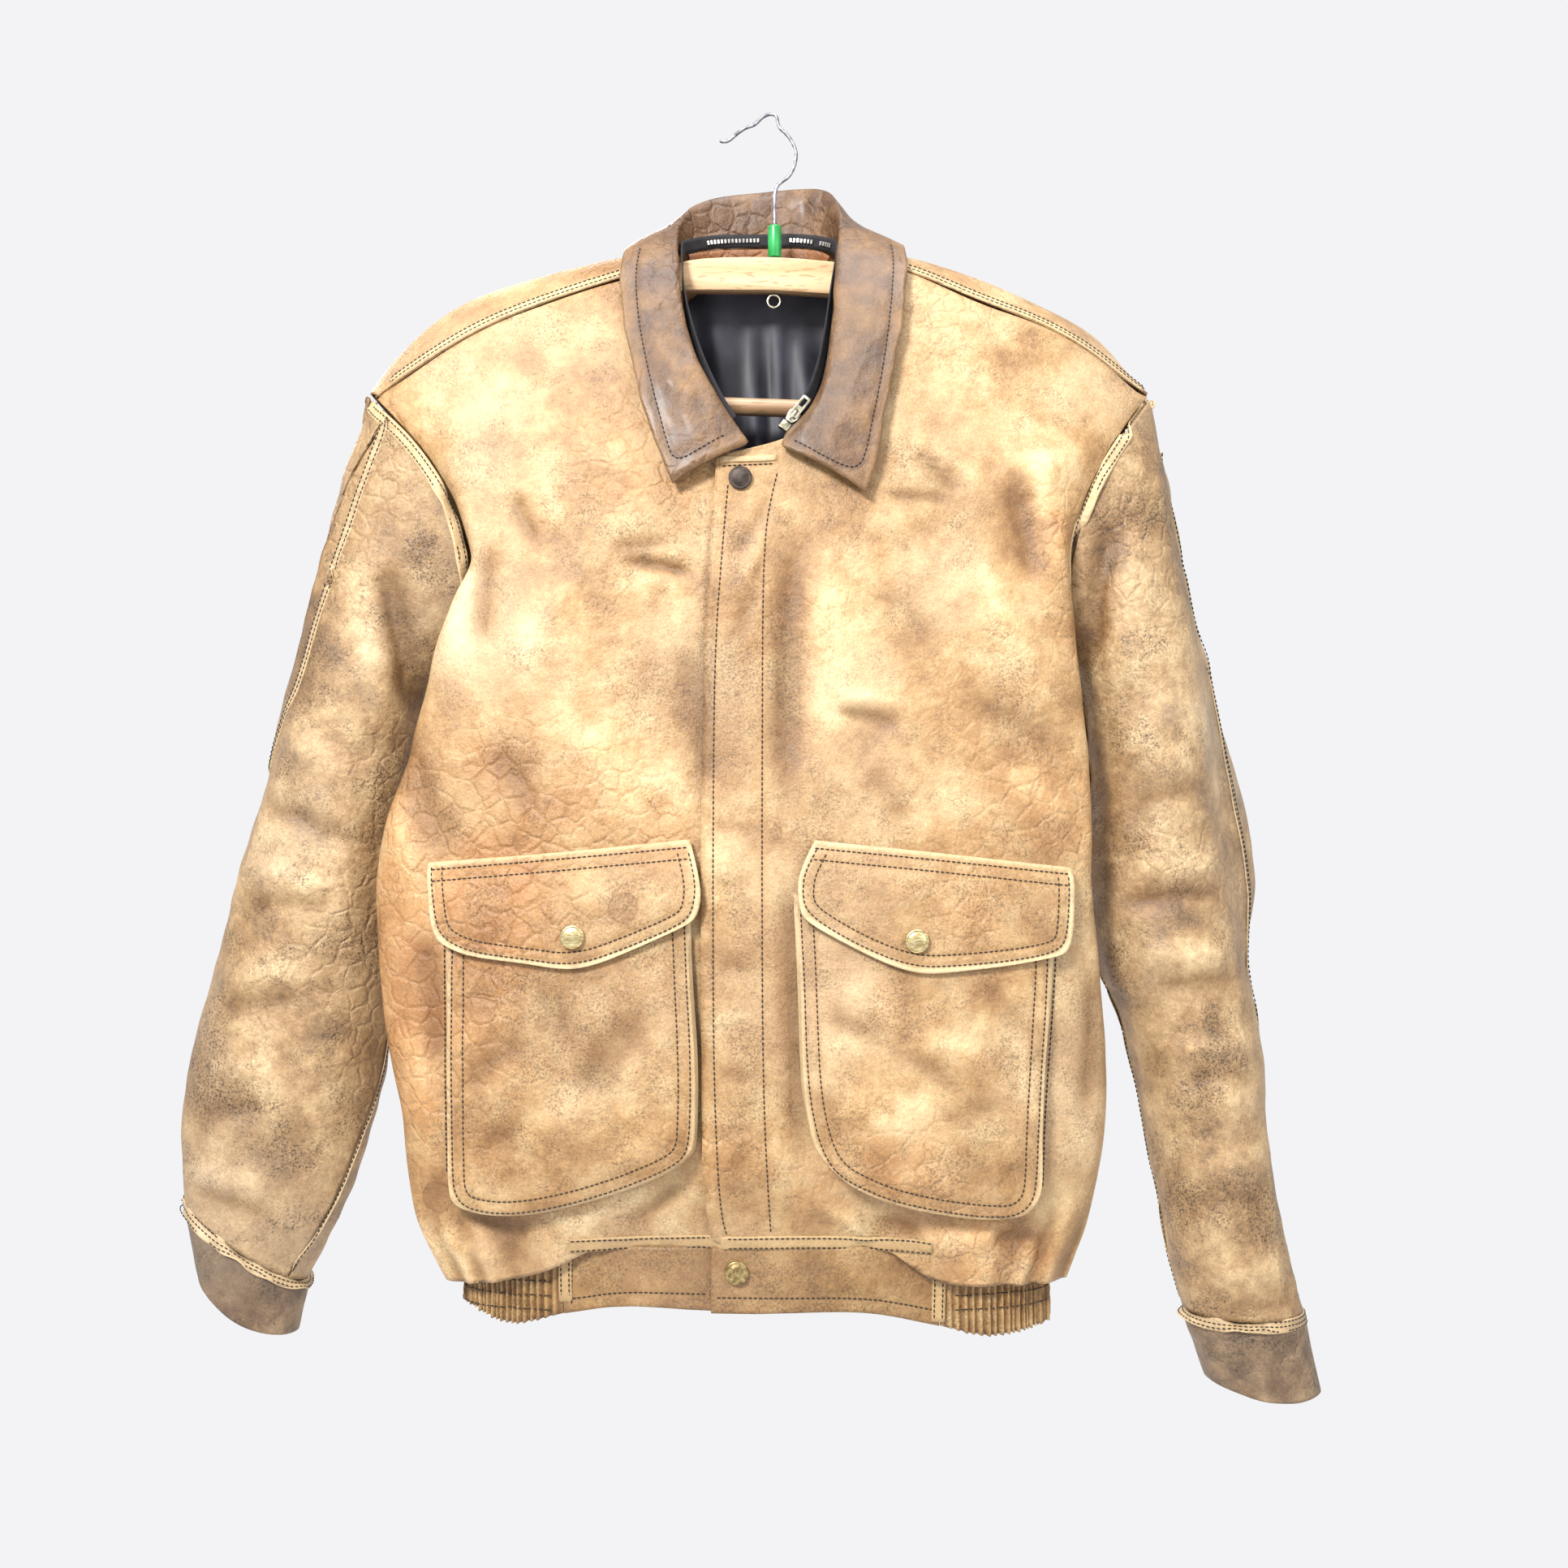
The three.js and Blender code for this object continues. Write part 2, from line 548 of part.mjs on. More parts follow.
function bagRows({ bag }) {
  const across = [...spread(7), 0.988, 1];
  const up = [...spread(7), 1];
  return up.map((v, j) => across.map((u, i) => {
    const p = bag(u, v);
    const isEdge = i === 0 || i === across.length - 1 || j === 0;
    const crown = 2.5 * Math.sin(Math.PI * u) * Math.sin(Math.PI * clamp(v, 0, 1));
    const stand = isEdge ? pocketFoot : bagDepth(p.z) + crown;
    return p.setY(frontAt(p.x, p.z) - stand);
  }));
}
function flapRows({ flap }) {
  return grid(10, 5, (u, v) => {
    const p = flap(u, v);
    const over = smooth((1 - v) / 0.32);
    const stand = mix(4, bagDepth(p.z) + 5.4, over);
    return p.setY(frontAt(p.x, p.z) - stand);
  });
}

// A snap's domed cap, its base a little clear of the leather.
function addSnap(name, [x, z], y, color) {
  const outline = [[0, 0], [snapRadius, 0], [snapRadius, 0.7], [0.86 * snapRadius, 0.68 * capRise],
    [0.5 * snapRadius, 0.93 * capRise], [0, capRise]];
  const cap = new THREE.LatheGeometry(outline.map(([r, h]) => new THREE.Vector2(r, h)), 20);
  const snap = add(name, cap, color, 0.35, 1);
  snap.rotation.x = Math.PI;
  snap.position.set(x, y, z);
}
for (const [name, pocket] of Object.entries(pockets)) {
  add(`pocket_${name}`, wall(bagRows(pocket), leather), tan);
  add(`flap_${name}`, wall(flapRows(pocket), doubled), tan);
  const [x, z] = pocket.snap;
  addSnap(`snap_pocket_${name}`, pocket.snap, frontAt(x, z) - bagDepth(z) - 8.2, 0xb9aa78);
}
addSnap("snap_neck", [-19, -258], frontAt(-19, -258) - 4.2, 0x3a2c24);
addSnap("snap_waist", [-21, -760.5], band.front - 3.9, 0x7a6a48);

// The collar: a stand inside and a leaf outside, from one end of the neck to the other. Each station
// has the fold, the leaf's edge and the neck seam.
const stations = [
  [[-14, -69, -236], [-62, -73, -262], [-18, -64, -229]],
  [[-31, -64, -211], [-79, -67, -222], [-37, -54, -211]],
  [[-45, -56, -185], [-88, -60, -190], [-50, -47, -185]],
  [[-56, -46, -161], [-94, -46, -160], [-60, -38, -161]],
  [[-61, -33, -125], [-98, -38, -136], [-65, -25, -130]],
  [[-63, -16, -94], [-100, -28, -109], [-66, -15, -103]],
  [[-64, 3, -75], [-96, -3, -84], [-66, 3, -89]],
  [[-62, 18, -60], [-90, 34, -91], [-60, 15, -87]],
  [[-46, 29, -48], [-64, 45, -108], [-41, 27, -77.5]],
  [[-28, 34, -43], [-36, 48, -113], [-27, 30, -73.5]],
  [[-2, 36, -39.5], [-4, 49, -115], [-8, 31, -73]],
  [[26, 34, -38], [30, 48, -112], [15, 30, -73]],
  [[42, 24, -43], [58, 45, -105], [30, 26, -75.5]],
  [[47, 9, -61], [83, 32, -91], [46, 11, -87]],
  [[48, -3, -75], [89, -4, -85], [51, 0, -89]],
  [[45, -18, -92], [90, -26, -103], [51, -15, -102]],
  [[43, -35.5, -125], [89, -40.5, -127], [48, -25, -130]],
  [[42, -47.5, -158], [86, -49.5, -153], [42, -37, -160]],
  [[38, -55.5, -190], [80, -56.5, -183], [36, -47, -188]],
  [[31, -63, -211], [74, -65, -213], [28, -54, -209]],
  [[20, -67.5, -226], [68, -71.5, -246], [18, -60, -220]],
  [[8, -70, -238], [61, -74, -268], [9, -65, -229]],
].map((station) => station.map((p) => point(...p)));
const neckAxis = point(-8, -15, 0);
const standThickness = 2.2;

function collarRows() {
  return stations.map(([fold, edge, seam]) => {
    const outward = fold.clone().sub(neckAxis).setZ(0).normalize();
    const inner = fold.clone().lerp(seam, 0.2).addScaledVector(outward, -1.2);
    const outer = fold.clone().lerp(edge, 0.13).addScaledVector(outward, 2.4);
    const middle = fold.clone().lerp(edge, 0.52).addScaledVector(outward, 3).add(point(0, 0, 2));
    const section = route([seam, seam.clone().lerp(inner, 0.55), inner, fold, outer, middle, edge]);
    return Array.from({ length: 9 }, (_, i) => section(i / 8));
  });
}
add("collar", wall(collarRows(), standThickness), collarBrown, 0.5);

// Strips that follow the inside of the neck.
function stripRows(points, width, columns) {
  const path = route(points.map((p) => point(...p)));
  const step = 0.002;
  return [-0.5, 0.5].map((side) => Array.from({ length: columns + 1 }, (_, i) => {
    const t = i / columns;
    const along = path(Math.min(t + step, 1)).sub(path(Math.max(t - step, 0))).normalize();
    const inward = neckAxis.clone().setZ(path(t).z).sub(path(t)).normalize();
    return path(t).addScaledVector(along.cross(inward).normalize(), side * width);
  }));
}
const tapePath = [
  [-25, -56, -219], [-34, -50, -204], [-48, -38, -170], [-57, -25, -133], [-59.5, -14, -104],
  [-59.5, -4, -93], [-59, 4, -88], [-53, 13, -83.5], [-37, 22.5, -78], [-8, 26, -76.5], [18, 24.5, -76.5],
  [36, 16, -81.5], [43, 5, -87], [44, -4, -92], [43.5, -14, -102], [40, -25, -129], [37, -35, -157],
  [32, -43, -184], [24, -50, -205], [18, -53, -212],
];
const facingPath = [
  [-56, 10, -96], [-44, 18, -91.5], [-29, 22.5, -89], [-8, 24.5, -88], [16, 23.5, -88],
  [32, 17, -91.5], [39, 11, -97],
];
add("liner_zip_tape", wall(stripRows(tapePath, 9, 40), 0.8), 0x1c1a20, 0.9);
add("neck_facing", wall(stripRows(facingPath, 10, 14), leather), 0x8a5630, 0.6);

// The lining of the back, where the open neck shows it.
const lining = { low: -300, right: -104, left: 96, inset: 6.5, top: profile([
  [-104, -154], [-70, -130], [-50, -108], [-32, -97], [24, -97], [42, -108], [62, -130], [96, -152],
]) };
add("back_lining", wall(grid(6, 6, (u, v) => {
  const x = mix(lining.right, lining.left, u);
  const z = mix(lining.low, lining.top(x), v);
  const half = x < centreLine(z) ? halves.right : halves.left;
  return sectionPoint(half, 180 - turnAt(half, x, z), z).add(point(0, -lining.inset, 0));
}), 1), 0x26252e, 0.6);

for (const [name, sleeve] of Object.entries(sleeves)) {
  add(`sleeve_${name}_top`, wall(sleeveRows(sleeve, true), leather), darkTan);
  add(`sleeve_${name}_under`, wall(sleeveRows(sleeve, false), leather), darkTan);
  add(`cuff_${name}`, wall(cuffRows(sleeve), doubled, true), collarBrown);
}

// The zip for a warm lining ends at the neck: its box, its slider and the slider's pull tab.
const zip = {
  along: point(0.57, 0.32, 0.76).normalize(),
  slider: { place: point(13.8, -56.9, -217.1), width: 8, length: 8.5, thickness: 4 },
  box: { place: point(9.4, -59.4, -223), width: 6.5, length: 6, thickness: 3 },
  arch: { width: 1.5, reach: 3, inside: 2.2, thickness: 0.8 },
  tab: { width: 6, length: 17, thickness: 1.1, bar: 0.6, eye: 4.4, window: 6.5, windowWidth: 3 },
};
const nickel = 0xb8b29a;
const zipFrame = new THREE.Matrix4();
{
  const forward = point(0, -1, 0).addScaledVector(zip.along, -point(0, -1, 0).dot(zip.along)).normalize();
  zipFrame.makeBasis(zip.along.clone().cross(forward), zip.along, forward);
}
function placeOnZip(mesh, place, lift = 0) {
  mesh.quaternion.setFromRotationMatrix(zipFrame);
  mesh.position.copy(place).add(point(0, 0, lift).applyQuaternion(mesh.quaternion));
}
function outline(points) {
  return new THREE.Shape(points.map(([x, y]) => new THREE.Vector2(x, y)));
}
const slab = (shape, thickness) => new THREE.ExtrudeGeometry(shape, {
  depth: thickness, bevelEnabled: false, curveSegments: 8,
}).translate(0, 0, -thickness / 2);

const { slider, box, arch, tab } = zip;
const shield = outline([
  [-0.5 * slider.width, 0.5 * slider.length], [-0.5 * slider.width, 0], [-0.3 * slider.width, -0.5 * slider.length],
  [0.3 * slider.width, -0.5 * slider.length], [0.5 * slider.width, 0], [0.5 * slider.width, 0.5 * slider.length],
]);
placeOnZip(add("zip_slider", slab(shield, slider.thickness), nickel, 0.35, 1), slider.place);
const boxShape = outline([
  [-0.5 * box.width, -0.5 * box.length], [0.5 * box.width, -0.5 * box.length],
  [0.5 * box.width, 0.5 * box.length], [-0.5 * box.width, 0.5 * box.length],
]);
placeOnZip(add("zip_box", slab(boxShape, box.thickness), nickel, 0.35, 1), box.place);

// The arch stands over the tab's bar and goes through its eye.
const barHeight = slider.thickness / 2 + seamGap + 0.9;
const archTop = barHeight + arch.inside / 2 + 0.4;
const archShape = outline([
  [-arch.reach, slider.thickness / 2 + seamGap], [-arch.reach + arch.thickness, slider.thickness / 2 + seamGap],
  [-arch.reach + arch.thickness, archTop], [arch.reach - arch.thickness, archTop],
  [arch.reach - arch.thickness, slider.thickness / 2 + seamGap], [arch.reach, slider.thickness / 2 + seamGap],
  [arch.reach, archTop + arch.thickness], [-arch.reach, archTop + arch.thickness],
]);
const archGeometry = slab(archShape, arch.width);
archGeometry.applyMatrix4(new THREE.Matrix4().makeBasis(point(0, 1, 0), point(0, 0, 1), point(1, 0, 0)));
placeOnZip(add("zip_arch", archGeometry, nickel, 0.35, 1), slider.place);

// The tab lies along the zip, on its hinge bar: a plate with an eye and a window.
const tabShape = outline([
  [-tab.width / 2, -tab.bar], [tab.width / 2, -tab.bar], [tab.width / 2, tab.length - 1],
  [tab.width / 2 - 1, tab.length], [1 - tab.width / 2, tab.length], [-tab.width / 2, tab.length - 1],
]);
const slot = (low, high, width) => new THREE.Path([
  new THREE.Vector2(-width / 2, low), new THREE.Vector2(-width / 2, high),
  new THREE.Vector2(width / 2, high), new THREE.Vector2(width / 2, low),
]);
tabShape.holes.push(slot(tab.bar, tab.bar + tab.eye, 3));
tabShape.holes.push(slot(tab.length - 2 - tab.window, tab.length - 2, tab.windowWidth));
placeOnZip(add("zip_pull", slab(tabShape, tab.thickness), nickel, 0.3, 1), slider.place, barHeight);

// The hanger: a bent wooden arm with a trouser bar, tilted a little on its hook.
const hanger = new THREE.Group();
hanger.position.set(2.5, 0, -108);
hanger.rotation.y = radians(hangerTilt);
group.add(hanger);
const armHalf = { // from the middle outwards: [x, z] of the upper and the lower edge
  upper: [[0, 11], [48, 8.5], [70, 3.5], [100, -4], [150, -13], [190, -30], [216, -54], [223, -84]],
  lower: [[222, -98], [208, -98], [206, -82], [196, -60], [165, -40], [120, -26], [60, -14], [0, -12]],
};
const armBevel = 2.2;
const armOutline = () => {
  const mirrored = (points) => points.map(([x, z]) => [-x, z]).reverse();
  const upper = new THREE.SplineCurve([...mirrored(armHalf.upper), ...armHalf.upper.slice(1)]
    .map(([x, z]) => new THREE.Vector2(x, z))).getPoints(40);
  const lower = [...armHalf.lower, ...mirrored(armHalf.lower).slice(1)].map(([x, z]) => new THREE.Vector2(x, z));
  return new THREE.Shape([...upper, ...lower]);
};
const arm = new THREE.ExtrudeGeometry(armOutline(), {
  depth: woodThickness - 2 * armBevel, bevelThickness: armBevel, bevelSize: armBevel,
  bevelOffset: -armBevel, bevelSegments: 2,
});
arm.translate(0, 0, -(woodThickness - 2 * armBevel) / 2).rotateX(Math.PI / 2);
hanger.add(add("hanger_arm", arm, 0xe8c08e, 0.55));
const trouserBar = new THREE.CylinderGeometry(trouserBarRadius, trouserBarRadius, 2 * 205, 20);
trouserBar.rotateZ(Math.PI / 2).translate(0, 0, -90);
hanger.add(add("trouser_bar", trouserBar, 0xc9a27a, 0.55));
const eye = new THREE.TorusGeometry(4.3, 1, 8, 20);
eye.rotateX(Math.PI / 2).translate(0, 0, -12 - 5.8);
hanger.add(add("screw_eye", eye, 0x8f8f98, 0.35, 1));

// The hook: round wire, bent by hand, that ends in a moulded sleeve on the arm.
const hookPoints = [
  [-35, 0, -17], [-30, 0, -17.5], [-23, 0, -12], [-17, 0, -8], [-11, 0, -6], [-6, 0, -1],
  [0, 0, wireRadius], [3.6, 0, 0], [5, 0, -7], [11.5, 0, -13.5], [16.6, 0, -23], [16.6, 0, -31],
  [12.5, 0, -40.5], [4.5, 0, -47], [2.6, 0, -53], [2.5, 0, -74], [2.5, 0, -95],
].map((p) => point(...p));
const wireSides = 8;
const wireSection = new THREE.Shape(Array.from({ length: wireSides }, (_, i) =>
  new THREE.Vector2(wireRadius, 0).rotateAround(new THREE.Vector2(), (2 * Math.PI * i) / wireSides)));
add("hook", new THREE.ExtrudeGeometry(wireSection, {
  steps: 56, bevelEnabled: false, extrudePath: new THREE.CatmullRomCurve3(hookPoints),
}), 0x8f8f98, 0.4, 1);
const sleeveTube = new THREE.LatheGeometry([[1.9, -96.2], [4.6, -96.2], [4.6, -75.5], [3.9, -74.6],
  [1.9, -74.6], [1.9, -96.2]].map(([r, z]) => new THREE.Vector2(r, z)), 24);
sleeveTube.rotateX(Math.PI / 2).translate(2.5, 0, 0);
add("hook_sleeve", sleeveTube, 0x2fbf5b, 0.4);

export default group;
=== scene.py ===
import math

import bmesh
import bpy
import numpy as np
from mathutils import Matrix, Vector, noise
from mathutils.bvhtree import BVHTree


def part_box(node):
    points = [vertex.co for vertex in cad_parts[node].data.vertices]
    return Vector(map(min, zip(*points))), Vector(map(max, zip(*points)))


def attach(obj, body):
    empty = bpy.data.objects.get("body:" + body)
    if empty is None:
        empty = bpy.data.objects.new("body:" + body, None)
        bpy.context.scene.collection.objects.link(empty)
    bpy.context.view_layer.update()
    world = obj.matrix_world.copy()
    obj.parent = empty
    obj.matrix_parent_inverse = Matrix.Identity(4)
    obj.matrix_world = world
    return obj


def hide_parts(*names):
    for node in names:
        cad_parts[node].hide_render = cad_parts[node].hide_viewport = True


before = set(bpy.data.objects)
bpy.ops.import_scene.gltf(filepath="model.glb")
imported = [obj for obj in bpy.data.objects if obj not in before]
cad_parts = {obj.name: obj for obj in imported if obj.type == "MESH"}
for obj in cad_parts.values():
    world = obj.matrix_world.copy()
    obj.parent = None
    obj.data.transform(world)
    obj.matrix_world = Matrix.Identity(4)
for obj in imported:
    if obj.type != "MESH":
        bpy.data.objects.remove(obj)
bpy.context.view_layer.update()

mm = 0.001
body = "jacket"
scene = bpy.context.scene


def linear(hexColour, dim=1.0):
    channels = [int(hexColour[i:i + 2], 16) / 255 for i in (1, 3, 5)]
    return tuple(dim * (c / 12.92 if c <= 0.04045 else ((c + 0.055) / 1.055) ** 2.4) for c in channels) + (1.0,)


def addNode(tree, kind, settings=None, links=None):
    new = tree.nodes.new("ShaderNode" + kind)
    for key, value in (settings or {}).items():
        if key == "stops":
            ramp = new.color_ramp
            for i, (position, colour) in enumerate(value):
                stop = ramp.elements[i] if i < 2 else ramp.elements.new(position)
                stop.position, stop.color = position, colour
        elif isinstance(key, str) and hasattr(new, key):
            setattr(new, key, value)
        else:
            new.inputs[key].default_value = value
    for key, source in (links or {}).items():
        tree.links.new(source, new.inputs[key])
    return new


def newMaterial(name, **sockets):
    made = bpy.data.materials.new(name)
    made.use_nodes = True
    shader = made.node_tree.nodes["Principled BSDF"]
    for key, value in sockets.items():
        shader.inputs[key.replace("_", " ")].default_value = value
    return made, made.node_tree, shader


# Garment leathers: drum-dyed, waxed and rubbed, so the colour lies in soft patches with fine dark pigment
# specks and is pale at rubbed edges;
# it is also made paler on fold ridges and browner in the creases, which is painted light and painted shade. IOR
# of a waxed skin.
leathers = {
    "body": dict(name="waxedGoatLeatherTan", deep="#9C774B", mid="#C9A676", light="#E9D2A6", tint="#C98F58",
                 blush="#DCC3A2", speck="#4E3922", specks=0.6, patch=0.045, rough=(0.4, 0.58), wrinkle=0.7,
                 stains=[(-89, -528, 10, 0.5), (-140, -601, 5, 0.45), (-209, -713, 11, 0.6),
                         (-172, -704, 3.5, 0.4),
                         (122, -662, 4, 0.3), (64, -596, 3, 0.3)]),
    "sleeve": dict(name="waxedGoatLeatherSpeckled", deep="#8A7256", mid="#B89A72", light="#DCC49B",
                   tint="#AE8F68",
                   blush="#C4B196", speck="#3C2E22", specks=0.85, patch=0.04, rough=(0.42, 0.6), wrinkle=0.8,
                   stains=[]),
    "waist": dict(name="waxedGoatLeatherWaistband", deep="#8F6F48", mid="#B4915F", light="#D6BA8A",
                  tint="#B18553",
                  blush="#BE9F7C", speck="#45321F", specks=0.6, patch=0.03, rough=(0.4, 0.58), wrinkle=0.7,
                  stains=[]),
    "collar": dict(name="polishedLeatherBrown", deep="#4A3321", mid="#6F5237", light="#94734D",
                   tint="#6B4A2C",
                   blush="#7A624B", speck="#2A1C12", specks=0.3, patch=0.028, rough=(0.36, 0.5), wrinkle=0.9,
                   polish=0.1,
                   stains=[]),
    "cuff": dict(name="waxedLeatherCuff", deep="#5B4735", mid="#85705A", light="#B39D80", tint="#73604C",
                 blush="#97897A", speck="#2A2019", specks=0.85, patch=0.025, rough=(0.4, 0.58), wrinkle=0.7,
                 stains=[]),
    "facing": dict(name="calfLeatherChestnut", deep="#7A4B28", mid="#96602F", light="#B07A45", tint="#8A5630",
                   blush="#A5713C", speck="#3F2513", specks=0.3, patch=0.02, rough=(0.4, 0.55), wrinkle=0.5,
                   stains=[]),
}
dye = 0.62  # the colours above are as lit; the skin itself is this much darker
grain = dict(pebble=1.7 * mm, speck=1.5 * mm, crease=9 * mm, bump=0.8 * mm)


def leatherMaterial(look):
    made, tree, shader = newMaterial(look["name"], IOR=1.48)
    place = addNode(tree, "TexCoord").outputs["Object"]
    patches = addNode(tree, "TexNoise", {"Scale": 1 / look["patch"], "Detail": 8.0, "Roughness": 0.68},
                      {"Vector": place}).outputs["Fac"]
    drift = addNode(tree, "TexNoise", {"Scale": 1 / 0.16, "Detail": 2.0}, {"Vector": place}).outputs["Fac"]
    base = addNode(tree, "ValToRGB", {"stops": [(0.3, linear(look["deep"])), (0.64, linear(look["light"])),
                                                (0.46, linear(look["mid"]))]},
                                                {"Fac": patches}).outputs["Color"]
    warm = addNode(tree, "MapRange", {"From Min": 0.5, "From Max": 0.72, "To Max": 0.6}, {"Value": drift})
    base = addNode(tree, "Mix", {"data_type": "RGBA", 7: linear(look["tint"])},
                   {0: warm.outputs[0], 6: base}).outputs[2]
    cool = addNode(tree, "MapRange", {"From Min": 0.47, "From Max": 0.3, "To Max": 0.6}, {"Value": drift})
    base = addNode(tree, "Mix", {"data_type": "RGBA", 7: linear(look["blush"])},
                   {0: cool.outputs[0], 6: base}).outputs[2]
    # pigment left in grainy clouds: crisp specks, crowded where the finish has worn least and more where the
    # tone mark is dark, so its painted shade shows partly as denser specks
    fine = addNode(tree, "TexNoise", {"Scale": 1 / grain["speck"], "Detail": 4.0, "Roughness": 0.75},
                   {"Vector": place}).outputs["Fac"]
    cloud = addNode(tree, "TexNoise", {"Scale": 1 / 0.034, "Detail": 8.0, "Roughness": 0.78},
                    {"Vector": place})
    toneAndShade = addNode(tree, "Attribute", {"attribute_name": "toneAndShade"}).outputs["Fac"]
    crowding = addNode(tree, "Math", {"operation": "MULTIPLY_ADD", 1: -0.3},
                       {0: toneAndShade, 2: cloud.outputs["Fac"]}).outputs[0]
    crowd = addNode(tree, "MapRange", {"From Min": 0.47, "From Max": 0.6, "To Min": 0.05, "To Max": 1.0},
                    {"Value": crowding}).outputs[0]
    specks = addNode(tree, "MapRange", {"From Min": 0.47, "From Max": 0.6, "To Max": look["specks"]},
                     {"Value": fine}).outputs[0]
    specks = addNode(tree, "Math", {"operation": "MULTIPLY"}, {0: specks, 1: crowd}).outputs[0]
    base = addNode(tree, "Mix", {"data_type": "RGBA", 7: linear(look["speck"])},
                   {0: specks, 6: base}).outputs[2]
    pebble = addNode(tree, "TexVoronoi", {"Scale": 1 / grain["pebble"]},
                     {"Vector": place}).outputs["Distance"]
    pores = addNode(tree, "MapRange", {"From Min": 0.15, "From Max": 0.75, "To Min": 1.05, "To Max": 0.88},
                    {"Value": pebble}).outputs[0]
    streak = addNode(tree, "TexNoise", {"Scale": 1 / (5 * mm), "Detail": 5.0, "Roughness": 0.8},
                     {"Vector": place})
    streaks = addNode(tree, "MapRange", {"From Min": 0.3, "From Max": 0.7, "To Min": 0.87, "To Max": 1.12},
                      {"Value": streak.outputs["Fac"]}).outputs[0]
    fade = addNode(tree, "Math", {"operation": "MULTIPLY"}, {0: pores, 1: streaks}).outputs[0]
    base = addNode(tree, "Mix", {"data_type": "RGBA", "blend_type": "MULTIPLY", 0: 1.0},
                   {6: base, 7: fade}).outputs[2]
    for x, z, radius, amount in look["stains"]:
        wander = addNode(tree, "VectorMath", {"operation": "SCALE", "Scale": 0.35 * radius * mm}, {0: addNode(
            tree, "TexNoise", {"Scale": 220.0, "Detail": 2.0},
            {"Vector": place}).outputs["Color"]}).outputs[0]
        moved = addNode(tree, "VectorMath", {}, {0: place, 1: wander}).outputs[0]
        away = addNode(tree, "VectorMath", {"operation": "DISTANCE", 1: (x * mm, -98 * mm, z * mm)},
                       {0: addNode(tree, "VectorMath", {"operation": "MULTIPLY_ADD", 1: (1, 0, 1),
                                                        2: (0, -98 * mm, 0)},
                                                        {0: moved}).outputs[0]}).outputs[1]
        ring = addNode(tree, "ValToRGB", {"stops": [(0.0, (0.6, 0.6, 0.6, 1)), (1.0, (0, 0, 0, 1)),
                                                    (0.82, (0.55, 0.55, 0.55, 1)), (0.9, (1, 1, 1, 1))]},
                       {"Fac": addNode(tree, "MapRange", {"From Max": radius * mm},
                                       {"Value": away}).outputs[0]})
        front = addNode(tree, "MapRange", {"From Min": -0.04, "From Max": -0.05, "To Max": amount},
                        {"Value": addNode(tree, "SeparateXYZ", {}, {0: place}).outputs["Y"]}).outputs[0]
        mark = addNode(tree, "Math", {"operation": "MULTIPLY"},
                       {0: ring.outputs["Color"], 1: front}).outputs[0]
        base = addNode(tree, "Mix", {"data_type": "RGBA", 7: linear("#7C5230")},
                       {0: mark, 6: base}).outputs[2]
    # painted light and shade of the folds from the relief mark, ridges lighter and troughs darker; painted
    # shade along the stitch grooves; and rubbed edges, which are wear
    relief = addNode(tree, "Attribute", {"attribute_name": "relief"}).outputs["Fac"]
    lift = addNode(tree, "MapRange", {"From Min": -1.0, "From Max": 1.0, "To Min": 0.5, "To Max": 1.36},
                   {"Value": relief}).outputs[0]
    # the fold light is scaled by the tone mark, which is tone with painted shade and highlight spots, and by
    # the dye
    lift = addNode(tree, "Math", {"operation": "MULTIPLY"}, {0: lift, 1: addNode(
        tree, "Math", {"operation": "MULTIPLY_ADD", 1: 0.45, 2: dye}, {0: toneAndShade}).outputs[0]}).outputs[0]
    each = [addNode(tree, "Math", {"operation": "POWER", 1: power}, {0: lift}).outputs[0] for power in (0.8,
                                                                                                        1.0,
                                                                                                        1.25)]
    shade = addNode(tree, "CombineColor", {}, dict(enumerate(each))).outputs[0]
    base = addNode(tree, "Mix", {"data_type": "RGBA", "blend_type": "MULTIPLY", 0: 1.0},
                   {6: base, 7: shade}).outputs[2]
    # painted shade: the leather darkened towards its deep colour along the sunk stitch rows
    seamShade = addNode(tree, "Attribute", {"attribute_name": "seamShade"}).outputs["Fac"]
    seamShadeAmount = addNode(tree, "Math", {"operation": "MULTIPLY", 1: 0.7}, {0: seamShade}).outputs[0]
    base = addNode(tree, "Mix", {"data_type": "RGBA", 7: linear(look["deep"])},
                   {0: seamShadeAmount, 6: base}).outputs[2]
    rub = addNode(tree, "Attribute", {"attribute_name": "rub"}).outputs["Fac"]
    rubAmount = addNode(tree, "Math", {"operation": "MULTIPLY", 1: 0.6}, {0: rub}).outputs[0]
    base = addNode(tree, "Mix", {"data_type": "RGBA", 7: linear(look["light"])},
                   {0: rubAmount, 6: base}).outputs[2]
    tree.links.new(base, shader.inputs["Base Color"])
    low, high = look["rough"]
    rough = addNode(tree, "MapRange", {"From Min": 0.35, "From Max": 0.65, "To Min": low, "To Max": high},
                    {"Value": patches}).outputs[0]
    tree.links.new(rough, shader.inputs["Roughness"])
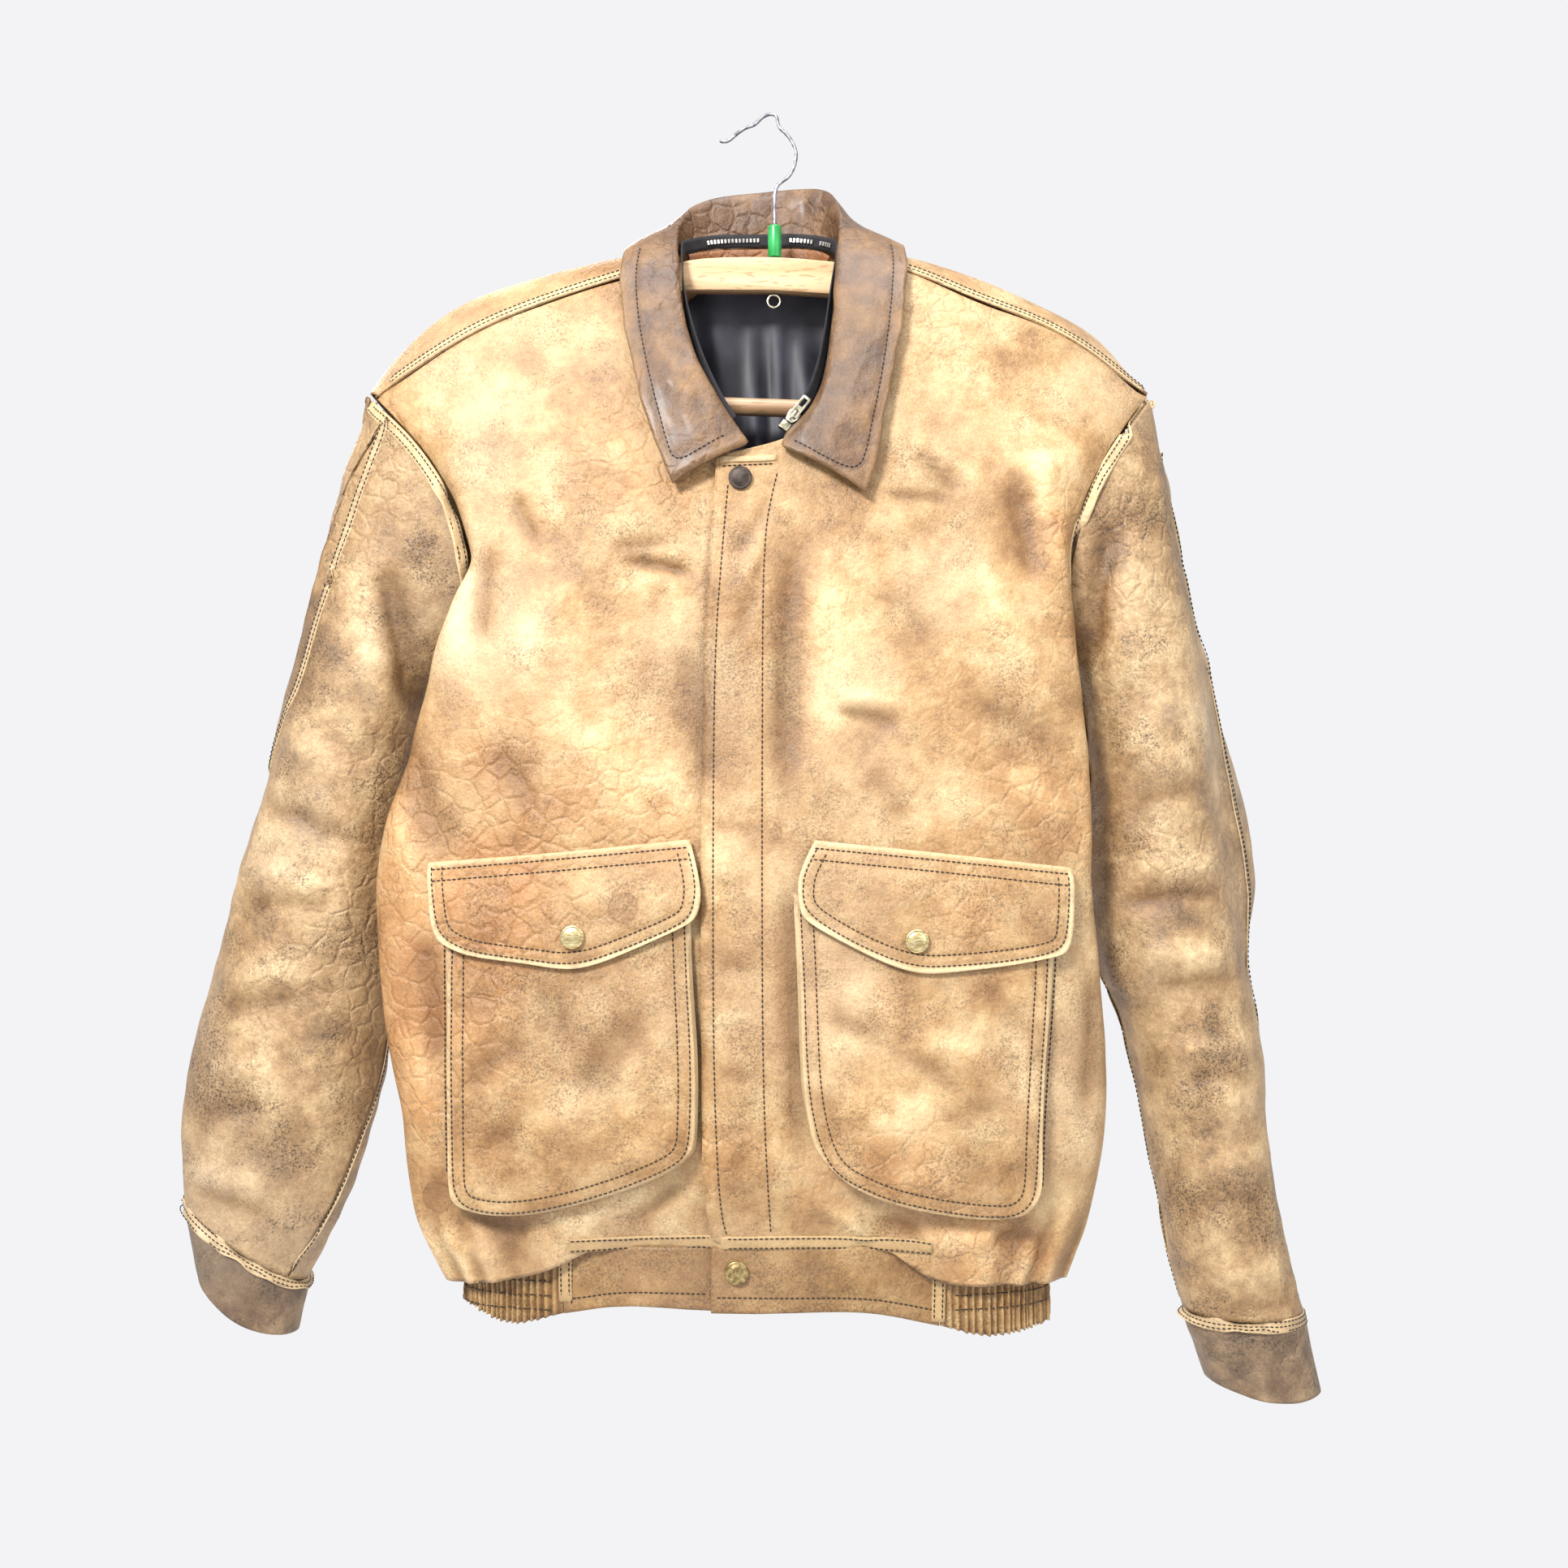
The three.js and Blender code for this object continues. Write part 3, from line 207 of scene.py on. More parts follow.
    # pebbled grain, and short wrinkles that meet at corners
    warp = addNode(tree, "TexNoise", {"Scale": 1 / (8 * mm), "Detail": 3.0},
                   {"Vector": place}).outputs["Color"]
    bent = addNode(tree, "VectorMath", {"operation": "MULTIPLY_ADD", 1: (0.005, 0.005, 0.005)},
                   {0: warp, 2: place}).outputs[0]
    cells = addNode(tree, "TexVoronoi", {"Scale": 1 / grain["crease"], "feature": "F1"}, {"Vector": bent})
    small = addNode(tree, "TexNoise", {"Scale": 1 / (3 * mm), "Detail": 5.0, "Roughness": 0.7},
                    {"Vector": place})
    height = addNode(tree, "Math", {"operation": "MULTIPLY_ADD", 1: -look["wrinkle"], 2: 0.0},
                     {0: cells.outputs["Distance"]}).outputs[0]
    height = addNode(tree, "Math", {"operation": "MULTIPLY_ADD", 1: -0.22}, {0: pebble, 2: height}).outputs[0]
    height = addNode(tree, "Math", {"operation": "MULTIPLY_ADD", 1: 0.9},
                     {0: small.outputs["Fac"], 2: height}).outputs[0]
    crack = addNode(tree, "TexVoronoi", {"Scale": 1 / (13 * mm), "feature": "DISTANCE_TO_EDGE"},
                    {"Vector": bent}).outputs["Distance"]
    line = addNode(tree, "MapRange", {"From Max": 0.14, "To Min": -0.08 * look["wrinkle"]},
                   {"Value": crack}).outputs[0]
    some = addNode(tree, "MapRange", {"From Min": 0.48, "From Max": 0.62}, {"Value": drift}).outputs[0]
    height = addNode(tree, "Math", {"operation": "MULTIPLY_ADD"}, {0: line, 1: some, 2: height}).outputs[0]
    bump = addNode(tree, "Bump", {"Strength": 0.9, "Distance": grain["bump"]}, {"Height": height})
    tree.links.new(bump.outputs[0], shader.inputs["Normal"])
    shader.inputs["Coat Weight"].default_value = look.get("polish", 0.0)
    shader.inputs["Coat Roughness"].default_value = 0.22
    return made


materials = {key: leatherMaterial(look) for key, look in leathers.items()}


def plainFinish(look):
    made, tree, shader = newMaterial(look["name"], IOR=look.get("ior", 1.5), Metallic=look.get("metal", 0.0))
    place = addNode(tree, "TexCoord").outputs["Object"]
    stretch = addNode(tree, "Mapping", {"Scale": look.get("stretch", (1, 1, 1))},
                      {"Vector": place}).outputs[0]
    mix = addNode(tree, "TexNoise", {"Scale": 1 / look["size"], "Detail": 4.0,
                                     "Distortion": look.get("bend", 0.0)},
                  {"Vector": stretch}).outputs["Fac"]
    dim = 1.0 if look.get("metal") else dye
    low, high = look.get("span", (0.38, 0.62))
    colour = addNode(tree, "ValToRGB", {"stops": [(low, linear(look["dark"], dim)),
                                                  (high, linear(look["light"], dim))]},
                     {"Fac": mix}).outputs["Color"]
    fleck = look.get("fleck")
    if fleck:
        spots = addNode(tree, "TexNoise", {"Scale": 1 / fleck["size"], "Detail": 1.0},
                        {"Vector": addNode(tree, "Mapping", {"Scale": fleck["stretch"]},
                                           {"Vector": place}).outputs[0]})
        seen = addNode(tree, "MapRange", {"From Min": fleck["from"], "From Max": fleck["from"] + 0.05,
                                          "To Max": fleck["amount"]},
                                          {"Value": spots.outputs["Fac"]}).outputs[0]
        colour = addNode(tree, "Mix", {"data_type": "RGBA", 7: linear(fleck["colour"], dim)},
                         {0: seen, 6: colour}).outputs[2]
    # painted sheen and shade: the colour multiplied by the relief mark, lighter on fold ridges and darker in
    # troughs
    shade = look.get("shade")
    if shade:
        lift = addNode(tree, "MapRange", {"From Min": -1.0, "From Max": 1.0, "To Min": shade[0],
                                          "To Max": shade[1]},
                       {"Value": addNode(tree, "Attribute",
                                         {"attribute_name": "relief"}).outputs["Fac"]}).outputs[0]
        colour = addNode(tree, "Mix", {"data_type": "RGBA", "blend_type": "MULTIPLY", 0: 1.0},
                         {6: colour, 7: lift}).outputs[2]
    tree.links.new(colour, shader.inputs["Base Color"])
    rough = addNode(tree, "MapRange", {"To Min": look["rough"][0], "To Max": look["rough"][1]},
                    {"Value": mix})
    tree.links.new(rough.outputs[0], shader.inputs["Roughness"])
    weave = look.get("weave")
    height = mix
    if weave:
        height = addNode(tree, "TexWave", {"Scale": 0.314 / weave, "bands_direction": "DIAGONAL"},
                         {"Vector": place}).outputs["Fac"]
    bump = addNode(tree, "Bump", {"Strength": look.get("relief", 0.3), "Distance": look.get("depth",
                                                                                            0.1 * mm)},
                   {"Height": height})
    tree.links.new(bump.outputs[0], shader.inputs["Normal"])
    return made


finishes = {
    # polyester satin: black-blue, with a soft sheen; its colour is painted lighter on fold ridges and darker in
    # troughs, painted sheen and painted shade
    "lining": dict(name="polyesterSatinNavy", dark="#1B1A24", light="#33323F", size=0.03, rough=(0.35, 0.5),
                   weave=0.6 * mm, relief=0.15, shade=(0.35, 1.9)),
    # woven zip tape, matt black
    "tape": dict(name="wovenPolyesterTape", dark="#141216", light="#26232A", size=0.004, rough=(0.8, 0.9),
                 weave=0.8 * mm, relief=0.5),
    # bonded polyester thread, dark brown
    "thread": dict(name="bondedPolyesterThread", dark="#150C07", light="#2A1A10", size=0.002,
                   rough=(0.5, 0.65)),
    # nickel-plated die-cast zinc, worn yellow at its edges
    "nickel": dict(name="nickelPlatedZinc", dark="#A39C82", light="#CBC6B4", size=0.004, rough=(0.25, 0.42),
                   metal=1.0),
    # polished aluminium zip teeth
    "teeth": dict(name="polishedAluminiumTeeth", dark="#CFCBC3", light="#F2EFE8", size=0.003,
                  rough=(0.2, 0.35),
                  metal=1.0),
    # brass snap caps, brushed and dulled
    "brass": dict(name="dulledBrassCap", dark="#B09A66", light="#E4D6A6", size=0.003, rough=(0.28, 0.42),
                  metal=1.0,
                  stretch=(1, 1, 5)),
    "darkSnap": dict(name="blackenedBrassCap", dark="#2A201A", light="#453830", size=0.004, rough=(0.45, 0.6),
                     metal=0.4),
    "agedSnap": dict(name="antiqueBrassCap", dark="#77643F", light="#B7A171", size=0.003, rough=(0.35, 0.5),
                     metal=0.9),
    # varnished beech: pale, with short brown ray flecks along the grain
    "beech": dict(name="varnishedBeech", dark="#DDAE7B", light="#F0CB9B", size=0.05, stretch=(0.25, 3, 3),
                  rough=(0.3, 0.42), depth=0.05 * mm, bend=0.6,
                  fleck=dict(colour="#B57F4C", size=0.0016, stretch=(0.16, 1, 1), amount=0.6,
                             **{"from": 0.6})),
    "beechBar": dict(name="varnishedBeechBar", dark="#B98F66", light="#D6B088", size=0.04,
                     stretch=(0.2, 3, 3),
                     rough=(0.35, 0.5), depth=0.05 * mm, bend=0.5,
                     fleck=dict(colour="#8F683F", size=0.0016, stretch=(0.16, 1, 1), amount=0.5,
                                **{"from": 0.6})),
    # galvanised steel wire, pitted and dull
    "wire": dict(name="galvanisedSteelWire", dark="#66666C", light="#A6A6AE", size=0.0025, rough=(0.35, 0.6),
                 metal=1.0,
                 relief=0.6, depth=0.2 * mm),
    # glossy injection-moulded polypropylene
    "green": dict(name="mouldedPolypropyleneGreen", dark="#1FA048", light="#36C463", size=0.02,
                  rough=(0.28, 0.36)),
}
materials.update({key: plainFinish(look) for key, look in finishes.items()})
print("materials made")


def cadCopy(node, joinFaces=True):
    made = bmesh.new()
    made.from_mesh(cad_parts[node].data)
    bmesh.ops.remove_doubles(made, verts=made.verts, dist=0.02 * mm)
    if joinFaces:
        bmesh.ops.join_triangles(made, faces=made.faces, angle_face_threshold=math.pi,
                                 angle_shape_threshold=math.pi)
    return made


def settle(made, name, material, smooth=True):
    mesh = bpy.data.meshes.new(name)
    made.to_mesh(mesh)
    made.free()
    for extra in ("custom_normal", "UVMap"):
        if extra in mesh.attributes:
            mesh.attributes.remove(mesh.attributes[extra])
    mesh.materials.clear()
    mesh.materials.append(materials[material])
    mesh.polygons.foreach_set("use_smooth", [smooth] * len(mesh.polygons))
    mesh.polygons.foreach_set("material_index", [0] * len(mesh.polygons))
    piece = bpy.data.objects.new(name, mesh)
    scene.collection.objects.link(piece)
    return piece


def bake(piece):
    bpy.context.view_layer.update()
    finished = bpy.data.meshes.new_from_object(piece.evaluated_get(bpy.context.evaluated_depsgraph_get()))
    piece.modifiers.clear()
    piece.data = finished
    return piece


# Cloth: a merged copy of the solid, its rims creased, subdivided, then pushed into folds. Both walls
# move alike, so the leather keeps its thickness.
def clothForm(node, name, material, levels, crease, tall):
    made = cadCopy(node)
    if tall:  # rows twice as close, for the creases
        upright = [e for e in made.edges if e.calc_length() > 12 * mm
                   and abs(e.verts[0].co.z - e.verts[1].co.z) > 0.7 * e.calc_length()]
        bmesh.ops.subdivide_edges(made, edges=upright, cuts=1, use_grid_fill=True)
    layer = made.edges.layers.float.get("crease_edge") or made.edges.layers.float.new("crease_edge")
    for edge in made.edges:
        if len(edge.link_faces) == 2 and edge.calc_face_angle() > math.radians(crease):
            edge[layer] = 1.0
    piece = settle(made, name, material)
    smoother = piece.modifiers.new("smooth", "SUBSURF")
    smoother.levels = smoother.render_levels = levels
    return bake(piece)


def readPoints(mesh):
    flat = np.empty(len(mesh.vertices) * 3)
    mesh.vertices.foreach_get("co", flat)
    return flat.reshape(-1, 3) / mm


def writePoints(mesh, points):
    mesh.vertices.foreach_set("co", (points * mm).ravel())
    mesh.update()


def writeMark(mesh, name, values):
    mark = mesh.attributes.get(name) or mesh.attributes.new(name, "FLOAT", "POINT")
    mark.data.foreach_set("value", np.clip(values, -1, 1).astype(np.float32))


def step(values, low, high):
    t = np.clip((values - low) / (high - low), 0, 1)
    return t * t * (3 - 2 * t)


# Distance from each point to a line through places, and how far along it the nearest spot is.
def nearLine(points, line):
    line = np.array(line, float)
    lengths = np.linalg.norm(np.diff(line, axis=0), axis=1)
    starts = np.concatenate([[0], np.cumsum(lengths)])
    best = np.full(len(points), 1e9)
    along = np.zeros(len(points))
    for i, length in enumerate(lengths):
        way = (line[i + 1] - line[i]) / max(length, 1e-9)
        t = np.clip((points - line[i]) @ way, 0, length)
        away = np.linalg.norm(points - line[i] - t[:, None] * way, axis=1)
        closer = away < best
        best[closer], along[closer] = away[closer], (starts[i] + t[closer]) / starts[-1]
    return best, along


# A fold is (from x, z, to x, z, bow sideways, width, height) in mm: a ridge, or a trough if below 0.
def foldRise(folds, flat):
    total = np.zeros(len(flat))
    for x0, z0, x1, z1, bow, width, height in folds:
        start, end = np.array([x0, z0], float), np.array([x1, z1], float)
        side = np.array([z0 - z1, x1 - x0]) / max(math.hypot(x1 - x0, z1 - z0), 1e-6)
        line = [start + (end - start) * t + side * bow * 4 * t * (1 - t) for t in np.linspace(0, 1, 9)]
        margin = 3 * width + abs(bow)
        low, high = np.minimum(start, end) - margin, np.maximum(start, end) + margin
        close = np.all((flat > low) & (flat < high), axis=1)
        away, along = nearLine(flat[close], line)
        taper = step(np.minimum(along, 1 - along), 0, 0.3)
        total[close] += height * np.exp(-(away / width) ** 1.6) * taper
    return total


def spotTone(spots, flat):
    total = np.zeros(len(flat))
    for x, z, radius, amount in spots:
        total += amount * np.exp(-((flat[:, 0] - x) ** 2 + (flat[:, 1] - z) ** 2) / radius ** 2)
    return total


def waver(points, size, seed):
    return np.array([noise.noise(Vector((p[0] / size[0], p[1] / size[1], p[2] / size[2])) + Vector((seed, 0,
                                                                                                    0)))
                     for p in points])


def bodyOut(points):
    out = np.stack([(points[:, 0] + 14) / 230 ** 2, (points[:, 1] + 20) / 70 ** 2, np.zeros(len(points))],
                   axis=1)
    return out / np.linalg.norm(out, axis=1, keepdims=True)


bodyLook = dict(folds=1.6, sway=1.4, crumple=0.7, gather=1.7, gatherPitch=31, gatherFrom=-700)
frontFolds = [
    (-97, -312, -47, -321, 3, 4, -2.6), (-104, -302, -62, -296, -2, 5, -1.4),
    (-90, -322, -52, -333, 2, 6, 1.2),
    (-162, -388, -120, -318, 0, 13, 2.2), (-204, -262, -212, -392, 6, 13, 3.4),
    (-186, -290, -190, -372, 4, 9, -2.2),
    (-165, -262, -146, -300, -5, 6, -1.7), (-146, -254, -138, -296, 4, 7, 1.3),
    (-118, -252, -84, -268, 4, 6, -1.1),
    (-232, -415, -196, -500, -10, 12, -2.2), (-238, -450, -205, -560, -8, 11, 1.8),
    (-222, -540, -212, -640, 4, 9, -1.8),
    (-236, -600, -214, -700, 6, 10, 1.6), (-60, -360, -40, -470, 6, 12, -1.6),
    (-120, -420, -80, -478, 8, 13, 1.5),
    (-180, -430, -150, -480, 6, 9, -1.3), (-140, -728, -66, -702, -4, 8, 2.6),
    (-90, -735, -46, -700, 3, 5, -1.8),
    (-200, -725, -150, -742, 4, 7, -2.2), (-215, -735, -165, -752, -4, 8, 2.2),
    (-60, -560, -42, -640, 3, 6, -1.4),
    (-56, -664, -30, -724, 4, 6, 1.6),
    (18, -280, 13, -470, -4, 9, -2.6), (34, -300, 32, -460, 4, 12, 1.8), (36, -408, 84, -420, 4, 4, -2.2),
    (40, -400, 90, -404, 3, 6, 1.3), (90, -236, 124, -268, 3, 5, -2.6), (100, -230, 142, -262, -3, 7, 1.6),
    (72, -270, 120, -272, 2, 4, -1.7), (170, -232, 188, -320, 4, 10, 3.0), (152, -250, 168, -330, 4, 9, -2.2),
    (128, -300, 150, -380, 6, 12, 1.5), (60, -330, 110, -372, 8, 9, -1.2),
    (120, -400, 186, -436, 6, 10, -1.4),
    (140, -440, 190, -482, 5, 9, 1.5), (60, -440, 86, -484, 4, 8, -1.5), (196, -400, 205, -520, 5, 10, 1.6),
    (204, -560, 196, -680, 4, 8, -1.8), (-2, -266, -26, -312, 4, 4, -1.2), (0, -280, -28, -340, 5, 4, 0.9),
    (-4, -300, -30, -372, 5, 4, -0.9), (-36, -480, -8, -486, 2, 4, -0.9), (-36, -520, -8, -514, 2, 5, -0.8),
    (-36, -566, -8, -572, 2, 5, -1.1), (-36, -600, -8, -594, -2, 4, 0.8), (-36, -634, -8, -640, 2, 5, -1.1),
    (-36, -676, -8, -668, 2, 5, -0.9), (-34, -706, -6, -710, 2, 4, -1.0),
    (10, -510, 16, -700, 3, 8, -2.2), (64, -728, 100, -740, 3, 6, -2.2), (90, -735, 150, -738, -5, 7, 2.4),
    (130, -745, 178, -742, 4, 6, -2.4), (30, -716, 58, -738, 3, 6, 1.6),
]
backFolds = [
    (-190, -250, -150, -420, 10, 14, 3.2), (-150, -240, -118, -380, 8, 11, -2.2),
    (178, -250, 138, -420, -10, 14, 3.0),
    (140, -240, 108, -380, -8, 11, -2.0), (-60, -150, -20, -170, 4, 9, -1.4),
    (30, -150, 64, -175, -4, 9, -1.2),
    (-80, -470, 40, -500, 12, 14, -2.2), (-130, -520, -20, -560, 10, 12, 1.8),
    (20, -540, 120, -520, -10, 13, -1.9),
    (-170, -600, -60, -640, 10, 12, -2.2), (0, -620, 130, -650, 8, 13, 2.0),
    (-100, -680, 20, -700, 8, 12, -2.0),
    (-210, -430, -180, -600, 5, 12, 2.0), (186, -430, 170, -600, -5, 12, 2.0),
    (-24, -200, -20, -430, 6, 16, -1.4),
    (60, -300, 90, -460, 6, 14, 1.6), (-110, -280, -70, -450, 6, 13, -1.5),
    (-150, -700, -90, -742, 5, 9, 2.0),
    (60, -700, 130, -740, 5, 9, -2.0),
]


def bodyShape(points, folds):
    x, y, z = points.T
    out = bodyOut(points)
    rise = bodyLook["folds"] * foldRise(folds, points[:, [0, 2]])
    rise += bodyLook["sway"] * waver(points, (85, 85, 130), 3) * step(z, -745, -700)
    rise += bodyLook["crumple"] * waver(points, (17, 17, 24), 11)
    turn = np.arctan2((x + 14) / 205, -(y + 30) / 62) * 190
    wave = np.sin(turn * 2 * math.pi / bodyLook["gatherPitch"] + 1.7 * np.sin(turn * 2 * math.pi / 83))
    overBand = np.maximum(step(-x, 118, 140) + step(x, 92, 112), step(y, -20, 10))
    strength = step(-z, -bodyLook["gatherFrom"], 752) * np.clip(overBand, 0, 1)
    rise += bodyLook["gather"] * wave * strength
    return out * rise[:, None], rise / 2.2


sleeveAxes = {
    "right": [(-241, 3, -278), (-255, 7, -306), (-265, 9, -332), (-274, 9, -365), (-285, 8, -412),
              (-295, 6, -470),
              (-305, 5, -519), (-316, 3, -582), (-325, 0, -635), (-334, -3, -677), (-340, -6, -718),
              (-352, -10, -757),
              (-351, -12, -799), (-350, -12, -830)],
    "left": [(226, 3, -278), (235, 5, -305), (241, 6, -334), (247, 6, -370), (254, 6, -416), (258, 5, -487),
             (262, 3, -530), (270, 0, -568), (280, -3, -602), (287, -6, -639), (292, -9, -684),
             (298, -11, -717),
             (305, -13, -762), (316, -15, -804), (328, -16, -852), (334, -16, -880)],
}
sleeveFolds = {
    "right": dict(
        front=[(-258, -300, -240, -420, 6, 10, -4.2), (-272, -300, -262, -430, 6, 13, 3.0),
               (-300, -300, -318, -420, -5, 12, -1.6),
               (-330, -420, -262, -470, 8, 9, 1.8), (-345, -470, -268, -500, 8, 8, -2.4),
               (-350, -505, -275, -520, -6, 9, 2.2),
               (-362, -540, -280, -535, 7, 7, -2.6), (-368, -570, -290, -575, -6, 9, 2.2),
               (-375, -610, -300, -592, 5, 8, -2.2),
               (-380, -640, -310, -650, 6, 9, 1.8), (-390, -680, -320, -665, 6, 8, -2.2),
               (-385, -700, -318, -716, -5, 9, 1.9),
               (-388, -722, -322, -740, 5, 7, -1.8), (-300, -440, -282, -560, 6, 11, 1.6),
               (-340, -600, -330, -700, 5, 10, 1.6)],
        back=[(-300, -260, -250, -330, 6, 12, -2.6), (-330, -400, -260, -460, 8, 10, 2.2),
              (-350, -480, -262, -520, -8, 10, -2.8),
              (-360, -530, -272, -560, 8, 9, 2.4), (-372, -590, -276, -600, -7, 9, -2.4),
              (-385, -650, -290, -640, 6, 9, 2.0),
              (-390, -700, -305, -716, 6, 8, -2.0)]),
    "left": dict(
        front=[(226, -270, 214, -380, -6, 10, -4.2), (244, -280, 236, -400, -6, 12, 3.2),
               (262, -250, 282, -360, 5, 12, -1.6),
               (288, -400, 228, -440, -8, 9, 1.8), (296, -455, 226, -480, -8, 8, -2.2),
               (302, -500, 232, -505, 6, 9, 2.2),
               (306, -530, 226, -536, -7, 7, -2.8), (312, -556, 240, -562, 6, 9, 2.4),
               (318, -585, 246, -590, -6, 8, -2.6),
               (322, -615, 256, -622, 6, 9, 2.2), (328, -650, 262, -648, -5, 8, -2.0),
               (330, -690, 268, -700, 5, 9, 1.8),
               (336, -730, 274, -726, -5, 8, -1.8), (342, -764, 284, -770, 5, 8, 1.7),
               (350, -790, 290, -792, 4, 6, -1.6),
               (270, -420, 256, -520, -6, 11, 1.6), (300, -620, 310, -740, -5, 10, 1.6)],
        back=[(280, -260, 236, -330, -6, 12, -2.6), (292, -400, 230, -450, -8, 10, 2.2),
              (304, -480, 226, -516, 8, 10, -3.0),
              (330, -520, 250, -550, -8, 9, 2.6), (338, -570, 256, -580, 7, 9, -2.6),
              (336, -620, 262, -616, -6, 9, 2.2),
              (336, -690, 270, -700, -6, 8, -2.0), (346, -760, 282, -752, 5, 8, 1.8)]),
}
sleeveLook = dict(folds=1.35, sway=1.8, crumple=1.0)


def sleeveShape(points, side):
    axis = np.array(sleeveAxes[side], float)
    centre = np.stack([np.interp(-points[:, 2], -axis[:, 2], axis[:, k]) for k in range(3)], axis=1)
    out = points - centre
    out[:, 2] *= 0.3
    out /= np.maximum(np.linalg.norm(out, axis=1, keepdims=True), 1e-6)
    folds = sleeveFolds[side]
    flat = points[:, [0, 2]]
    rise = sleeveLook["folds"] * foldRise(folds["front"], flat) * step(-out[:, 1], -0.25, 0.45)
    rise += sleeveLook["folds"] * foldRise(folds["back"], flat) * step(out[:, 1], -0.25, 0.45)
    rise += sleeveLook["sway"] * waver(points, (60, 60, 55), 21) + sleeveLook["crumple"] * waver(points,
                                                                                                 (15, 15,
                                                                                                  17), 31)
    return out * rise[:, None], rise / 2.8


collarFolds = [
    (74, -134, 21, -230, -4, 2.6, 1.3), (68, -140, 30, -222, -5, 3.0, -0.8),
    (63, -171, 43, -210, 2, 2.2, 1.0),
    (-86, -115, -59, -122, 2, 2.6, -0.9), (-78, -141, -59, -129, 2, 2.4, 0.9),
    (-70, -172, -51, -179, 2, 2.4, -0.9),
    (-67, -189, -46, -210, 2, 2.4, 1.0), (-75, -162, -55, -191, -2, 2.4, 0.9),
    (-70, -211, -50, -228, 2, 2.6, -0.9),
    (-84, -150, -66, -158, 1, 2.2, 0.7), (-80, -180, -62, -205, 2, 2.0, -0.7),
    (80, -110, 60, -120, 2, 2.6, -0.8),
    (76, -160, 58, -178, 2, 2.4, -0.8), (70, -200, 52, -226, 2, 2.6, 0.8), (62, -228, 44, -240, 2, 2.2, -0.7),
]


def collarShape(points):
    centre = np.array([-8.0, -15.0])
    out = np.zeros_like(points)
    out[:, :2] = points[:, :2] - centre
    out /= np.maximum(np.linalg.norm(out, axis=1, keepdims=True), 1e-6)
    rise = 1.1 * waver(points, (26, 26, 18), 41) + 0.9 * waver(points, (9, 9, 14), 43)
    rise += foldRise(collarFolds, points[:, [0, 2]]) * (points[:, 1] < -10)
    return out * rise[:, None], rise / 2.0


def plainShape(sway, crumple, size=14):
    def shape(points):
        rise = sway * waver(points, (45, 45, 45), 51) + crumple * waver(points, (size, size, size), 53)
        return bodyOut(points) * rise[:, None], rise / 2.5
    return shape


gather = dict(count=16, flatten=1.0, finer=3, depth=1.3, rows=(-760, -769, -778, -787), sunk=0.7)


# Gathers of the elastic: the solid's broad pleats are let down and close ones drawn in their place.
def elasticShape(side):
    first, last = (-142 + 0.35, -39.2 - 0.35) if side == "right" else (38.7 + 0.35, 142 - 0.35)
    reach = (-199 + 14) if side == "right" else (181 + 14)

    def shape(points):
        x, y, z = points.T
        across = np.degrees(np.arcsin(np.clip((x + 14) / reach, -1, 1)))
        turn = np.where(y > -30, 180 - across, across) * (-1 if side == "right" else 1)
        phase = (turn - first) / (last - first) * 2 * gather["count"]
        broad = -np.cos(math.pi * phase)
        close = -np.cos(math.pi * phase * gather["finer"] + 0.9 * np.sin(phase * 0.7) + 0.02 * z)
        rise = gather["depth"] * close - gather["flatten"] * broad + 0.5 * waver(points, (9, 9, 16), 61)
        for level in gather["rows"]:
            rise -= gather["sunk"] * np.exp(-((z - level) / 1.8) ** 2)
        pushed = bodyOut(points) * rise[:, None]
        ends = np.minimum(phase, 2 * gather["count"] - phase)
        pushed *= step(ends, 0, 1.6)[:, None]
        pushed[:, 2] -= 0.4 * close * step(-z, 780, 799) * step(ends, 0, 1.6)
        return pushed, close * 1.1
    return shape


def liningShape(points):
    x, z = points[:, 0], points[:, 2]
    wave = np.sin(x * 2 * math.pi / 21 + 1.2 * np.sin(x / 11) + (z + 150) / 60) * step(-z, 95, 190)
    wave += 0.6 * np.sin((x * 0.9 + z * 0.25) * 2 * math.pi / 37)
    return np.outer(-1.5 * wave, (0, 1, 0)), wave * 0.6


def still(points):
    return np.zeros_like(points), np.zeros(len(points))


